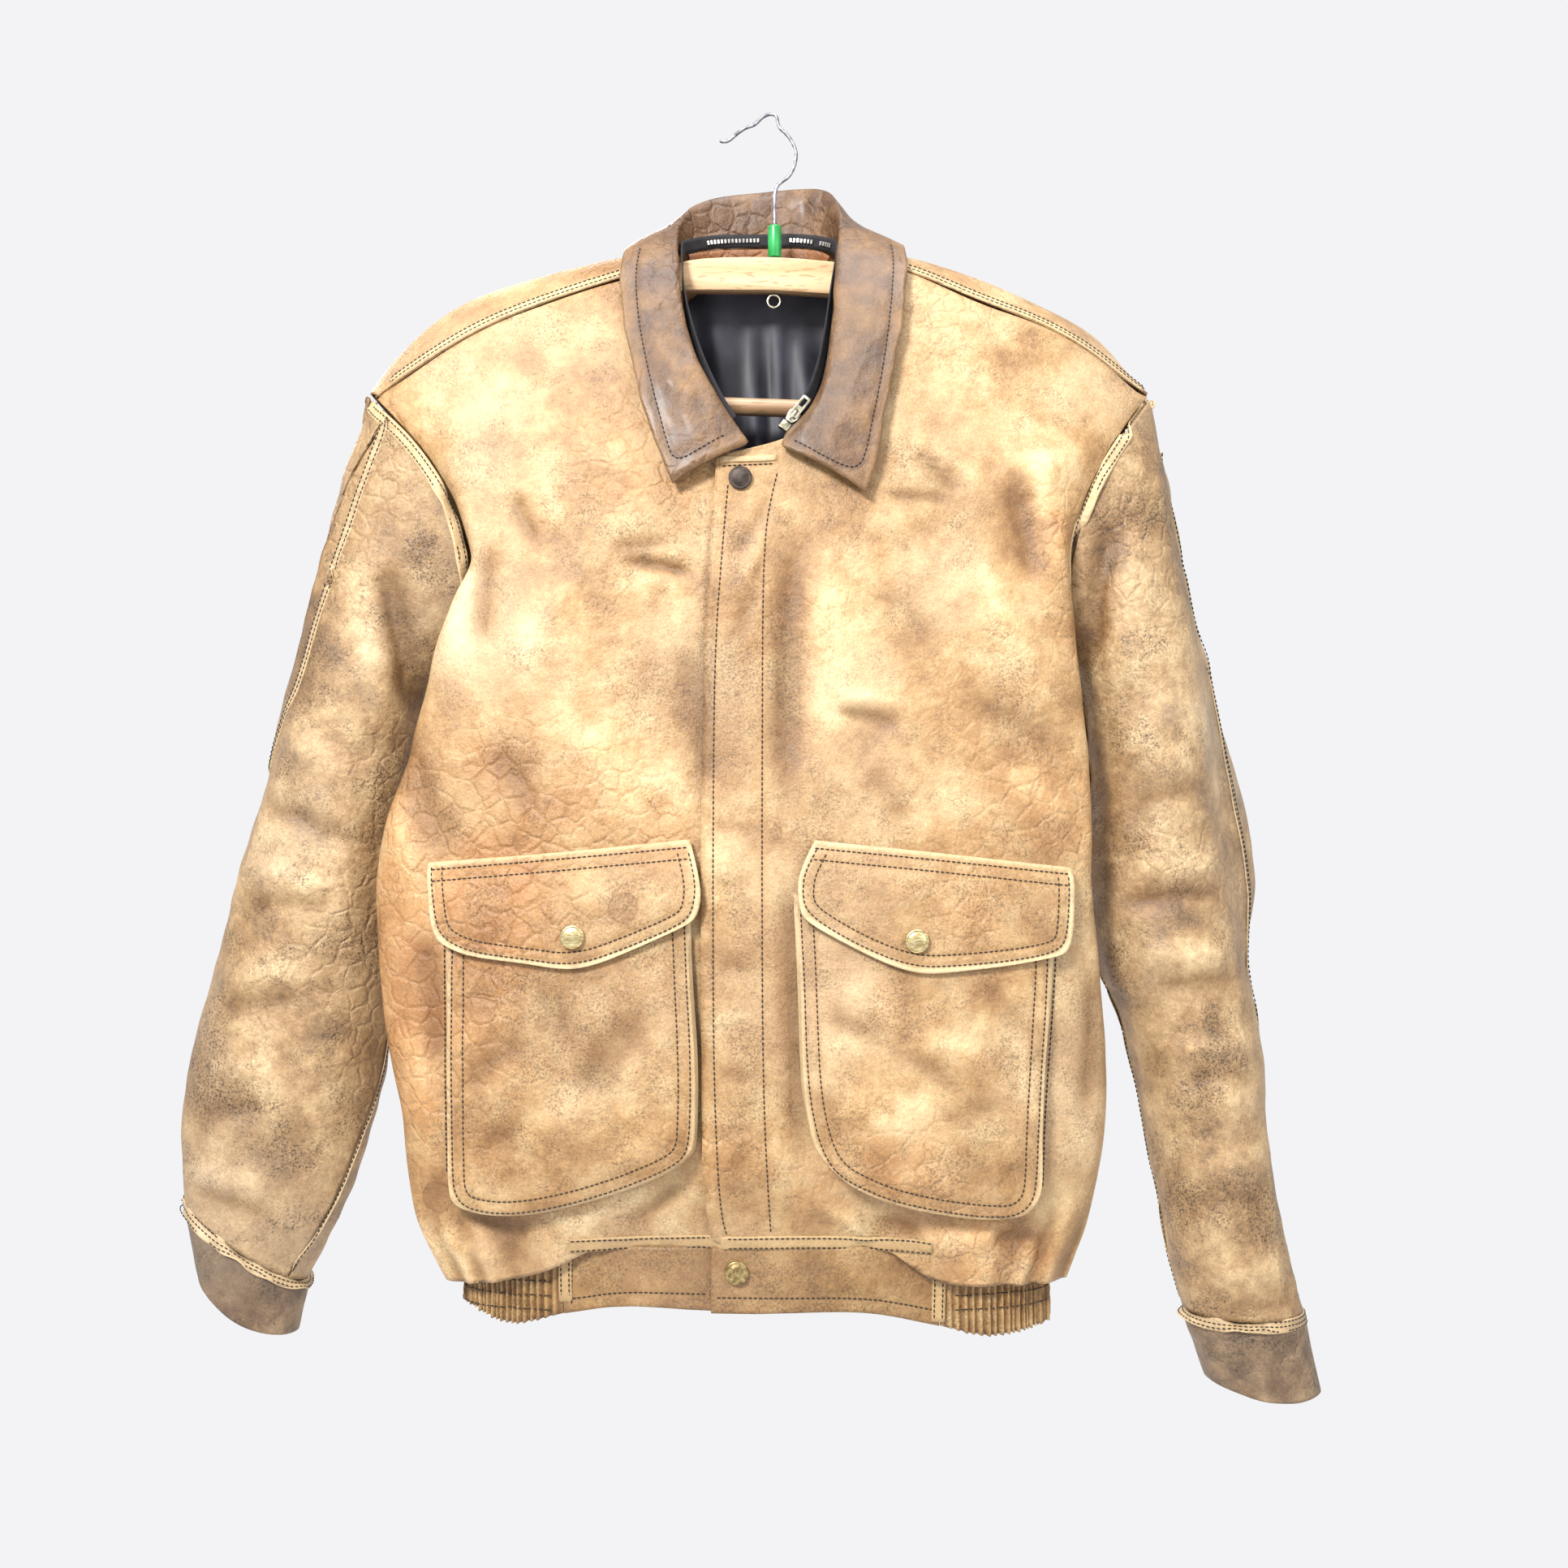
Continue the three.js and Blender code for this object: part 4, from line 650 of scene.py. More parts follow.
# what each cloth piece stands for; flat is the cut's width and length in metres, area its own in m2
pieces = {
    "rightFront": dict(node="front_right", leather="body", flat=(0.3, 0.66), area=0.163,
                       shape=lambda p: bodyShape(p, frontFolds)),
    "leftFront": dict(node="front_left", leather="body", flat=(0.33, 0.66), area=0.184,
                      shape=lambda p: bodyShape(p, frontFolds)),
    "backPanel": dict(node="back", leather="body", flat=(0.58, 0.7), area=0.326,
                      shape=lambda p: bodyShape(p, backFolds)),
    "rightSleeveTop": dict(node="sleeve_right_top", leather="sleeve", flat=(0.17, 0.6), area=0.075,
                           shape=lambda p: sleeveShape(p, "right")),
    "rightSleeveUnder": dict(node="sleeve_right_under", leather="sleeve", flat=(0.2, 0.6), area=0.088,
                             shape=lambda p: sleeveShape(p, "right")),
    "leftSleeveTop": dict(node="sleeve_left_top", leather="sleeve", flat=(0.18, 0.64), area=0.084,
                          shape=lambda p: sleeveShape(p, "left")),
    "leftSleeveUnder": dict(node="sleeve_left_under", leather="sleeve", flat=(0.18, 0.64), area=0.079,
                            shape=lambda p: sleeveShape(p, "left")),
    "rightCuff": dict(node="cuff_right", leather="cuff", flat=(0.2, 0.052), area=0.0096,
                      shape=lambda p: sleeveShape(p, "right")),
    "leftCuff": dict(node="cuff_left", leather="cuff", flat=(0.21, 0.054), area=0.011,
                     shape=lambda p: sleeveShape(p, "left")),
    "rightWaistband": dict(node="waistband_right", leather="waist", flat=(0.13, 0.045), area=0.0054,
                           shape=plainShape(0.8, 0.4)),
    "leftWaistband": dict(node="waistband_left", leather="waist", flat=(0.155, 0.05), area=0.0068,
                          shape=plainShape(0.8, 0.4)),
    "backWaistband": dict(node="waistband_back", leather="waist", flat=(0.25, 0.051), area=0.0125,
                          shape=plainShape(1.0, 0.5)),
    "rightElastic": dict(node="elastic_right", leather="waist", flat=(0.24, 0.05), area=0.0115,
                         shape=elasticShape("right")),
    "leftElastic": dict(node="elastic_left", leather="waist", flat=(0.25, 0.055), area=0.013,
                        shape=elasticShape("left")),
    "rightPocket": dict(node="pocket_right", leather="body", flat=(0.19, 0.22), area=0.034, shape=None),
    "leftPocket": dict(node="pocket_left", leather="body", flat=(0.19, 0.22), area=0.034, shape=None),
    "rightFlap": dict(node="flap_right", leather="body", flat=(0.175, 0.08), area=0.0115, shape=None),
    "leftFlap": dict(node="flap_left", leather="body", flat=(0.175, 0.08), area=0.012, shape=None),
    "collarLeaf": dict(node="collar", leather="collar", crease=75, flat=(0.5, 0.1), area=0.041,
                       shape=collarShape),
    "neckFacing": dict(node="neck_facing", leather="facing", levels=2, flat=(0.12, 0.013), area=0.0014,
                       shape=still),
    "linerZipTape": dict(node="liner_zip_tape", leather="tape", levels=2, flat=(0.5, 0.01), area=0.0035,
                         shape=still),
    "backLining": dict(node="back_lining", leather="lining", flat=(0.2, 0.2), area=0.037,
                       shape=liningShape),
}
pocketFolds = {
    "right": [(-194, -650, -146, -612, 6, 7, -1.7), (-190, -620, -150, -590, 5, 8, 1.5),
              (-120, -656, -68, -590, 8, 12, -2.6),
              (-160, -690, -96, -640, 6, 9, 1.9), (-150, -560, -110, -620, -6, 11, -1.6),
              (-186, -690, -150, -664, 4, 6, -1.5),
              (-100, -700, -60, -660, 4, 8, 1.6), (-196, -600, -170, -578, 3, 6, -1.1),
              (-90, -640, -56, -610, 4, 6, 1.3),
              (-140, -508, -136, -545, 2, 4, -0.9), (-180, -520, -150, -524, 2, 5, -0.8),
              (-80, -510, -70, -540, 2, 6, 0.8)],
    "left": [(31, -598, 72, -618, 4, 6, -2.0), (72, -618, 123, -649, 5, 6, -2.2),
             (36, -580, 90, -606, 5, 9, 1.7),
             (84, -606, 140, -632, 5, 8, 1.7), (100, -670, 156, -650, 5, 9, -1.7),
             (40, -650, 90, -676, 5, 9, 1.8),
             (130, -570, 160, -620, 4, 9, -1.5), (60, -700, 130, -706, 5, 8, 1.4),
             (150, -600, 168, -680, 3, 7, 1.3),
             (60, -512, 70, -545, 2, 5, -0.8), (120, -520, 160, -526, 2, 5, -0.8)],
}


def pocketShape(side, strength):
    def shape(points):
        x, y, z = points.T
        rise = foldRise(pocketFolds[side], points[:, [0, 2]]) * strength
        rise += 1.1 * waver(points, (40, 60, 40), 71) + 0.7 * waver(points, (13, 60, 15), 73)
        return np.outer(-rise, (0, 1, 0)), rise / 2.0
    return shape


for side in ("right", "left"):
    pieces[side + "Pocket"]["shape"] = pocketShape(side, 1.0)
    pieces[side + "Flap"]["shape"] = pocketShape(side, 0.6)


# Stitched lines, in mm. Two numbers are x and z, pressed on from the front; three are a place in space.
def inset(line, distance):
    places = [np.array(p, float) for p in line]
    moved = []
    for i, place in enumerate(places):
        way = places[min(i + 1, len(places) - 1)] - places[max(i - 1, 0)]
        way /= np.linalg.norm(way)
        moved.append(tuple(place + np.array([-way[1], way[0]]) * distance))
    return moved


bagLines = {
    "right": [(-202.5, -530), (-202, -618), (-201.5, -700), (-198, -714), (-188, -721.5), (-161, -724),
              (-128, -718),
              (-97, -708.5), (-66, -696), (-50, -686), (-46, -672), (-45, -630), (-48.5, -570), (-50, -530)],
    "left": [(15.5, -530), (18, -580), (20, -640), (26, -672), (34, -690), (45, -700.5), (72, -713.5),
             (112, -723),
             (149, -727), (163, -720), (169.5, -707), (170.5, -657), (176, -590), (179.5, -530)],
}
flapLines = {
    "right": [(-215, -505), (-214, -517), (-210.5, -543), (-204, -552), (-187, -560), (-152, -564),
              (-120, -568),
              (-88, -557), (-51, -541), (-45, -531), (-43, -515), (-49, -492)],
    "left": [(27, -492), (18.5, -508), (17.5, -522), (21, -535.5), (55, -556), (89, -569), (120, -568),
             (155, -565),
             (181, -560), (188.5, -551), (191, -519), (190.5, -508)],
}
flapTops = {"right": [(-213, -503), (-132, -496), (-50, -488.5)],
            "left": [(28, -489), (110, -497), (189, -506)]}
collarStitch = [
    [(-29, -231), (-45, -240), (-56, -247), (-62, -246), (-65, -238), (-71, -216), (-78, -189), (-86, -152),
     (-89.5, -115), (-87, -92)],
    [(15, -234), (34, -245), (47, -251.5), (55, -253), (60, -246), (66, -217), (73, -182), (78, -146),
     (81.5, -108),
     (80, -91)],
]
collarRim = [(-14, -69, -236), (-62, -73, -262), (-79, -67, -222), (-88, -60, -190), (-94, -46, -160),
             (-98, -38, -136),
             (-100, -28, -109), (-96, -3, -84), (-90, 34, -91), (-64, 45, -108), (-36, 48, -113),
             (-4, 49, -115),
             (30, 48, -112), (58, 45, -105), (83, 32, -91), (89, -4, -85), (90, -26, -103), (89, -39, -127),
             (86, -48, -153), (80, -55, -183), (74, -64, -213), (68, -71, -246), (61, -74, -268),
             (7, -69, -238)]
armholes = {
    "rightFront": [(-268, -12, -200), (-251, -25, -213), (-230, -35, -236), (-211, -40, -265),
                   (-200, -40, -296),
                   (-197, -35, -326), (-201, -25, -350), (-206, -11, -368)],
    "rightBack": [(-208, 18, -368), (-208, 32, -350), (-210, 42, -326), (-216, 47, -296), (-227, 46, -265),
                  (-241, 40, -236), (-256, 30, -213), (-268, 12, -199)],
    "leftFront": [(251, -10, -200), (238, -24, -214), (222, -34, -238), (206, -40, -265), (196, -40, -296),
                  (192, -35, -325), (192, -25, -348), (195, -11, -366)],
    "leftBack": [(196, 18, -366), (197, 32, -348), (200, 42, -325), (207, 46, -296), (217, 46, -265),
                 (229, 41, -238),
                 (241, 31, -214), (251, 12, -199)],
}
shoulders = {
    "right": [(-75, -16, -106), (-107, -22, -115), (-149, -25, -130), (-187, -25, -145), (-221, -23, -163),
              (-251, -14, -183), (-263, -9, -191)],
    "left": [(62, -19, -103), (94, -21, -110), (135, -24, -129), (175, -23, -142), (209, -20, -160),
             (237, -12, -179),
             (250, -6, -188)],
}
sideSeams = {
    "right": [(-207, -8, -380), (-215, -9, -412), (-236, -10, -483), (-239, -10, -555), (-232, -10, -627),
              (-222, -8, -699),
              (-208, -6, -750)],
    "left": [(190, -8, -380), (190, -9, -409), (193, -10, -481), (197, -10, -554), (202, -10, -626),
             (199, -8, -699),
             (189, -6, -750)],
}
topSeams = {
    "right": [(-254, -26, -208), (-268, -27, -245), (-283, -26, -287), (-297, -24, -330), (-310, -20, -374),
              (-325, -12, -415), (-338, -4, -445)],
    "left": [(266, 9, -227), (274, 12, -271), (287, 14, -327), (304, 16, -392), (321, 18, -476),
             (329, 18, -521),
             (327, 14, -560), (329, 9, -599), (331, 5, -639), (331, 3, -681), (336, 1, -715), (343, -1, -759),
             (354, -4, -800)],
}
underSeams = {
    "right": [(-225, 5, -385), (-234, 8, -411), (-239, 6, -436), (-247, 4, -486), (-251, 2, -536),
              (-256, -3, -596),
              (-259, -10, -646), (-272, -17, -684), (-289, -24, -731), (-318, -30, -776)],
    "left": [(206, -3, -382), (212, -5, -412), (214, -4, -440), (215, -3, -498), (215, -1, -540),
             (220, 1, -576),
             (235, 1, -606), (243, 0, -640), (253, -2, -686), (259, -3, -720), (267, -5, -766),
             (276, -6, -800)],
}
cuffRings = {
    "right": [(-394, -10, -729), (-391, -21, -730), (-384, -31, -735), (-373, -38, -743), (-359, -42, -753),
              (-345, -42, -763), (-331, -38, -772), (-320, -31, -780), (-313, -21, -785), (-310, -10, -787),
              (-313, 1, -785), (-320, 11, -780), (-331, 18, -772), (-345, 22, -763), (-359, 22, -753),
              (-373, 18, -743),
              (-384, 11, -735), (-391, 1, -730), (-394, -10, -729)],
    "left": [(357, -15, -805), (355, -26, -805), (347, -36, -805), (337, -44, -805), (323, -47, -805),
             (309, -47, -804),
             (296, -44, -804), (285, -36, -804), (278, -26, -804), (276, -15, -804), (278, -4, -804),
             (285, 6, -804),
             (296, 14, -804), (309, 17, -804), (323, 17, -805), (337, 14, -805), (347, 6, -805),
             (355, -4, -805),
             (357, -15, -805)],
}


def shifted(line, dx=0, dy=0, dz=0):
    return [(x + dx, y + dy, z + dz) for x, y, z in line]


# rows of thread: which piece they are on, and the line they follow
frontRows = {
    "leftFront": [
        [(-27, -262), (-31, -312), (-34, -352), (-35.5, -412), (-35.5, -560), (-34.5, -650), (-31, -722),
         (-27, -737)],
        [(4.5, -254), (-2, -282), (-4.5, -317), (-5, -412), (-5, -560), (-4, -650), (-1, -710), (0.5, -735)],
        [(-31, -250), (-12, -249), (4, -248)],
    ],
    "collarLeaf": collarStitch,
    "rightPocket": [inset(bagLines["right"], 3.6), inset(bagLines["right"], 11)],
    "leftPocket": [inset(bagLines["left"], 3.6), inset(bagLines["left"], 11)],
    "rightFlap": [inset(flapLines["right"], 2.7), inset(flapLines["right"], 9.4),
                  inset(flapTops["right"], -4), inset(flapTops["right"], -11)],
    "leftFlap": [inset(flapLines["left"], 2.7), inset(flapLines["left"], 9.4),
                 inset(flapTops["left"], -4), inset(flapTops["left"], -11)],
    "rightWaistband": [[(-126, -779.5), (-90, -773.5), (-40, -776)], [(-125.5, -750), (-126, -786)]],
    "leftWaistband": [[(-34, -777), (20, -777.5), (62, -778), (92, -784), (104, -787)],
                      [(103.5, -750), (103.5, -790)]],
}


def resample(points, spacing):
    points = [Vector(p) for p in points]
    out, left = [points[0]], spacing
    for a, b in zip(points, points[1:]):
        length, used = (b - a).length, 0.0
        while length - used >= left:
            used += left
            out.append(a.lerp(b, used / length))
            left = spacing
        left -= length - used
    return out


def smoothLine(points, rounds=2):
    for _ in range(rounds):  # corner cutting
        cut = [points[0]]
        for a, b in zip(points, points[1:]):
            a, b = Vector(a), Vector(b)
            cut += [a.lerp(b, 0.25), a.lerp(b, 0.75)]
        points = cut + [points[-1]]
    return [Vector(p) for p in points]


def treeOf(*objects):
    made = bmesh.new()
    for piece in objects:
        made.from_mesh(piece.data)
    found = BVHTree.FromBMesh(made)
    made.free()
    return found


def outwardAt(place, side=None):
    if side is None:
        return Vector(bodyOut(np.array([place]))[0])
    axis = np.array(sleeveAxes[side], float)
    centre = Vector([np.interp(-place.z, -axis[:, 2], axis[:, k]) for k in range(3)])
    return Vector((place.x - centre.x, place.y - centre.y, 0.3 * (place.z - centre.z))).normalized()


def calmed(laid, rounds=3):
    for _ in range(rounds):
        inner = [((a[0] + b[0] * 2 + c[0]) / 4, (a[1] + b[1] * 2 + c[1]).normalized())
                 for a, b, c in zip(laid, laid[1:], laid[2:])]
        laid = laid[:1] + inner + laid[-1:]
    return laid


# A line's places laid on the cloth, as (place, outward normal) in metres: pressed on from the front, or
# pressed on from outside towards the nearest cloth.
def layOn(tree, line, spacing, side=None, reach=9, calm=3):
    laid = []
    fromFront = len(line[0]) == 2
    for place in resample(smoothLine([(p[0], p[1], 0) if fromFront else p for p in line]), spacing):
        if fromFront:
            hit, normal, _, _ = tree.ray_cast(Vector((place.x, -200, place.y)) * mm, Vector((0, 1, 0)))
        else:
            hit, normal, _, away = tree.find_nearest((place + outwardAt(place, side) * 3) * mm)
            if away is not None and away > reach * mm:
                hit = None
        if hit is not None:
            laid.append((hit, normal))
    return calmed(laid, calm) if len(laid) > 4 else laid


# tone bands along the placket; the narrow dark line at its free edge (x -38 to -41) is a painted shadow
placketToneAndShadow = [(-19, -262, -18, -500, 0, 15, -0.24), (-18, -480, -16, -742, 0, 15, -0.2),
               (11, -270, 8, -500, -2, 7, -0.3),
               (-38, -270, -41, -480, 0, 2.6, -0.5), (-40, -470, -40, -720, 0, 2.2, -0.25),
               (-31, -262, -38, -480, 0, 2.2, 0.2),
               (34, -480, 30, -560, 0, 12, -0.14)]
frontTone = [(-127, -287, 28, -0.2), (-76, -287, 24, -0.16), (-66, -384, 26, -0.12), (-198, -292, 13, -0.2),
             (102, -348, 42, 0.12), (153, -399, 24, -0.05), (102, -256, 14, -0.15), (133, -226, 24, 0.06),
             (46, -287, 20, -0.08), (31, -496, 18, -0.14), (-200, -640, 40, -0.12), (-150, -740, 34, -0.1),
             (60, -735, 24, -0.05), (196, -600, 34, -0.08), (-215, -520, 30, 0.05)]
pocketTone = [(-86, -700, 26, -0.15), (-132, -603, 26, -0.1), (-84, -530, 18, -0.1), (77, -588, 26, -0.12),
              (92, -639, 26, 0.16), (118, -695, 22, -0.16), (60, -700, 22, -0.1), (150, -585, 20, 0.08),
              (-175, -560, 24, -0.08), (-165, -690, 24, 0.06)]
# spots on the sleeves: the dark spot near each armhole (first of each side) is painted shade in the fold hollow
# there, and the pale spot at (260, -300) beside it on the left sleeve is a painted highlight; the others darken
# and lighten the sleeves in patches
sleeveToneAndShade = {
    "right": [(-225, -303, 17, -0.42), (-304, -370, 28, -0.2), (-262, -370, 19, 0.12),
              (-335, -527, 20, -0.12),
              (-286, -515, 24, 0.12), (-376, -642, 30, -0.26), (-329, -672, 26, -0.14), (-256, -232, 18, 0.1),
              (-300, -690, 20, -0.1)],
    "left": [(244, -274, 18, -0.36), (277, -390, 32, 0.26), (289, -461, 32, 0.3), (264, -538, 15, -0.2),
             (277, -648, 17, -0.25), (309, -667, 15, 0.22), (328, -738, 22, -0.4), (277, -725, 22, -0.38),
             (302, -757, 11, 0.08), (290, -796, 16, -0.2), (260, -300, 16, 0.18)],
}
steadyTone = {"rightPocket": -0.14, "leftPocket": -0.06, "rightFlap": -0.12, "leftFlap": -0.1,
              "rightWaistband": -0.22,
              "leftWaistband": -0.2, "backWaistband": -0.2, "rightElastic": -0.16, "leftElastic": -0.16}
holdLook = dict(near=1.5, far=20, least=0.12)
# a stitch row sinks the leather in a groove (pull, width); the other two give the painted shade along it
# (width, strength)
seamLook = dict(pull=0.5, width=2.0, seamShade=1.7, seamShadeStrength=0.7)

cloth = {}
heldAlong = {"backPanel": [armholes["rightBack"], armholes["leftBack"], shoulders["right"], shoulders["left"],
                           sideSeams["right"], sideSeams["left"]]}
for side in ("right", "left"):
    heldAlong[side + "Front"] = [armholes[side + "Front"], sideSeams[side], shoulders[side]]
    ringLines = [armholes[side + "Front"], armholes[side + "Back"], cuffRings[side]]
    heldAlong[side + "SleeveTop"] = heldAlong[side + "SleeveUnder"] = ringLines
    heldAlong[side + "Cuff"] = [cuffRings[side]]
rims = {"collarLeaf": [(collarRim, 6.0, 0.55)]}
for side in ("right", "left"):
    rims[side + "Pocket"] = [(bagLines[side], 2.6, 0.7)]
    rims[side + "Flap"] = [(flapLines[side], 2.6, 0.9), (flapTops[side], 2.2, 0.6)]

for name, look in pieces.items():
    isBig = name.endswith(("Front", "SleeveTop", "SleeveUnder"))
    piece = clothForm(look["node"], name, look["leather"], look.get("levels", 3), look.get("crease", 55),
                      isBig)
    points = readPoints(piece.data)
    flat = points[:, [0, 2]]
    # each shape gives a push and a relief mark (fold height); the materials draw relief as painted light on
    # ridges and painted shade in troughs
    pushed, relief = look["shape"](points)
    hold = np.ones(len(points))
    for line in heldAlong.get(name, []):
        away, _ = nearLine(points, [tuple(p) for p in smoothLine(line)])
        hold = np.minimum(hold, holdLook["least"] + (1 - holdLook["least"]) * step(away, holdLook["near"],
                                                                                   holdLook["far"]))
    pushed *= hold[:, None]
    seamShade, rub = np.zeros(len(points)), np.zeros(len(points))
    # each stitch row sinks a groove and gets painted shade along it
    for row in frontRows.get(name, []):
        away, _ = nearLine(flat, [(p.x, p.y) for p in smoothLine([(x, z, 0) for x, z in row])])
        pushed[:, 1] += seamLook["pull"] * np.exp(-(away / seamLook["width"]) ** 2)
        seamShade = np.maximum(seamShade, seamLook["seamShadeStrength"] * np.exp(-(away / seamLook["seamShade"]) ** 2))
    for line, width, amount in rims.get(name, []):
        away, _ = nearLine(flat if len(line[0]) == 2 else points, line)
        rub = np.maximum(rub, amount * np.exp(-(away / width) ** 2))
    # tone mark: the leather's uneven tone, with painted shade and painted highlight spots on the placket and
    # sleeves
    toneAndShade = np.full(len(points), steadyTone.get(name, 0.0))
    if name in ("rightFront", "leftFront"):
        toneAndShade += spotTone(frontTone, flat) + foldRise(placketToneAndShadow, flat)
    elif name.endswith(("Pocket", "Flap")):
        toneAndShade += spotTone(pocketTone, flat)
    elif "Sleeve" in name:
        toneAndShade += spotTone(sleeveToneAndShade["right" if name.startswith("right") else "left"], flat)
    writePoints(piece.data, points + pushed)
    for mark, values in (("relief", relief * hold), ("seamShade", seamShade), ("rub", rub), ("toneAndShade", toneAndShade)):
        writeMark(piece.data, mark, values)
    cloth[name] = piece
    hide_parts(look["node"])
    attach(piece, body)
    print(name, "shaped,", len(piece.data.polygons), "faces")


# A lapped seam: a narrow leather band on the cloth, with its rows of thread.
def layBand(made, laid, width, rise):
    rings = []
    profile = ((-0.5, -0.5), (-0.47, 0.6), (-0.36, 0.95), (-0.2, 0.8), (0, 1.15), (0.2, 0.8), (0.36, 0.95),
               (0.47, 0.6),
               (0.5, -0.5))
    for i, (place, normal) in enumerate(laid):
        ahead = (laid[min(i + 1, len(laid) - 1)][0] - laid[max(i - 1, 0)][0]).normalized()
        side = ahead.cross(normal).normalized()
        rings.append([made.verts.new(place + side * across * width * mm + normal * up * rise * mm)
                      for across, up in profile])
    for a, b in zip(rings, rings[1:]):
        for i in range(len(a) - 1):
            made.faces.new((a[i], a[i + 1], b[i + 1], b[i]))
    for ring in (rings[0], rings[-1][::-1]):
        made.faces.new(ring)


threadLook = dict(pitch=3.3, length=2.9, radius=0.5, sunk=0.15)


def sew(made, laid):
    for (place, normal), (ahead, _) in zip(laid, laid[1:]):
        way = (ahead - place).normalized()
        side = normal.cross(way).normalized()
        turn = Matrix((way, side, way.cross(side))).transposed().to_4x4()
        size = Matrix.Diagonal((threadLook["length"] / 2 * mm, threadLook["radius"] * mm,
                                threadLook["radius"] * mm, 1))
        middle = place.lerp(ahead, 0.5) + normal * (threadLook["radius"] - threadLook["sunk"]) * mm
        bmesh.ops.create_icosphere(made, subdivisions=1, radius=1.0,
                                   matrix=Matrix.Translation(middle) @ turn @ size)


threads = bmesh.new()
bands = {"body": bmesh.new(), "sleeve": bmesh.new(), "waist": bmesh.new()}


def offsetLaid(laid, distance):
    out = []
    for i, (place, normal) in enumerate(laid):
        ahead = (laid[min(i + 1, len(laid) - 1)][0] - laid[max(i - 1, 0)][0]).normalized()
        out.append((place + ahead.cross(normal).normalized() * distance * mm, normal))
    return out


def lappedSeam(kind, tree, line, width=7.5, rise=0.9, rows=(-2.2, 2.2), side=None, calm=3):
    laid = layOn(tree, line, 3.0, side, 10, calm)
    if len(laid) < 4:
        return
    layBand(bands[kind], laid, width, rise)
    rowsLaid = layOn(tree, line, threadLook["pitch"], side, 10, calm)
    for row in rows:
        sew(threads, [(p + n * rise * 0.75 * mm, n) for p, n in offsetLaid(rowsLaid, row)])


for name, rows in frontRows.items():
    tree = treeOf(cloth[name])
    for row in rows:
        sew(threads, layOn(tree, row, threadLook["pitch"], calm=1))
bodyTree = treeOf(cloth["rightFront"], cloth["leftFront"], cloth["backPanel"])
lappedSeam("body", treeOf(cloth["leftFront"]), [(-32, -245.5), (-14, -245.5), (6, -244)], width=4, rise=1.1,
           rows=())
for side in ("right", "left"):
    sleeveTree = treeOf(cloth[side + "SleeveTop"], cloth[side + "SleeveUnder"])
    shellTree = treeOf(cloth["rightFront"], cloth["leftFront"], cloth["backPanel"], cloth[side + "SleeveTop"],
                       cloth[side + "SleeveUnder"])
    lappedSeam("body", bodyTree, shoulders[side], rise=1.0)
    over = (-274, 3, -189) if side == "right" else (257, 3, -189)
    ring = armholes[side + "Front"][::-1] + [over] + armholes[side + "Back"][::-1]
    lappedSeam("body", shellTree, ring, width=8.5, rise=0.8, calm=6)
    lappedSeam("body", bodyTree, sideSeams[side], width=8.0, rise=0.7)
    lappedSeam("sleeve", sleeveTree, topSeams[side], width=7.0, rise=0.7, side=side, calm=6)
    lappedSeam("sleeve", sleeveTree, underSeams[side], width=3.0, rise=0.4, rows=(0,), side=side, calm=6)
    cuffTree = treeOf(cloth[side + "Cuff"], cloth[side + "SleeveTop"], cloth[side + "SleeveUnder"])
    lappedSeam("sleeve", cuffTree, shifted(cuffRings[side], dz=-1.5), width=8.5, rise=0.5, rows=(-3, 0, 3),
               side=side,
               calm=4)
    elasticTree = treeOf(cloth[side + "Elastic"])
    reach = (-199 + 14) if side == "right" else (181 + 14)
    for level in gather["rows"]:
        ring = [(-14 + reach * math.sin(math.radians(t)), -30 - 48 * max(math.cos(math.radians(t)), 0) ** 0.55
                 + 63 * max(-math.cos(math.radians(t)), 0) ** 0.8, level) for t in range(42, 140, 7)]
        sew(threads, layOn(elasticTree, ring, threadLook["pitch"], None, 14, 0))
    # the gusset's own row, outside the bag
    low = [p for p in inset(bagLines[side],
                            -2.6) if (p[0] + 8) * (1 if side == "left" else -1) > 120 and p[1] > -712]
    sew(threads, layOn(treeOf(cloth[side + "Front"], cloth[side + "Pocket"]), low, threadLook["pitch"],
                       calm=1))
waistParts = treeOf(*[cloth[name] for name in ("rightWaistband", "leftWaistband", "rightElastic",
                                               "leftElastic")])
for x in (-130, 107):  # where the elastic meets the plain band
    lappedSeam("waist", waistParts, [(x, -746), (x, -760), (x, -775), (x + (1 if x < 0 else -0.5), -794)],
               width=9,
               rise=1.0, rows=(-2.6, 2.6))
waistTree = treeOf(cloth["rightFront"], cloth["leftFront"], cloth["rightWaistband"], cloth["leftWaistband"])
waistSeam = [(-126, -743.5), (-60, -742.5), (-20, -742), (30, -742), (70, -743), (102, -744.5)]
lappedSeam("waist", waistTree, waistSeam, width=9.5, rise=1.0, rows=(-3.4, 3.4))
print("seams laid")


def finishPiece(made, name, material, rides=body, smooth=True, replaced=()):
    bmesh.ops.recalc_face_normals(made, faces=made.faces)
    piece = settle(made, name, material, smooth)
    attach(piece, rides)
    if replaced:
        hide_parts(*replaced)
    return piece


def markPlain(piece):
    for mark in ("relief", "seamShade", "rub", "toneAndShade"):
        writeMark(piece.data, mark, np.zeros(len(piece.data.vertices)))


for kind, made in bands.items():
    band = finishPiece(made, kind + "SeamBands", kind)
    markPlain(band)
    writeMark(band.data, "rub", np.full(len(band.data.vertices), 0.5))
finishPiece(threads, "stitching", "thread")


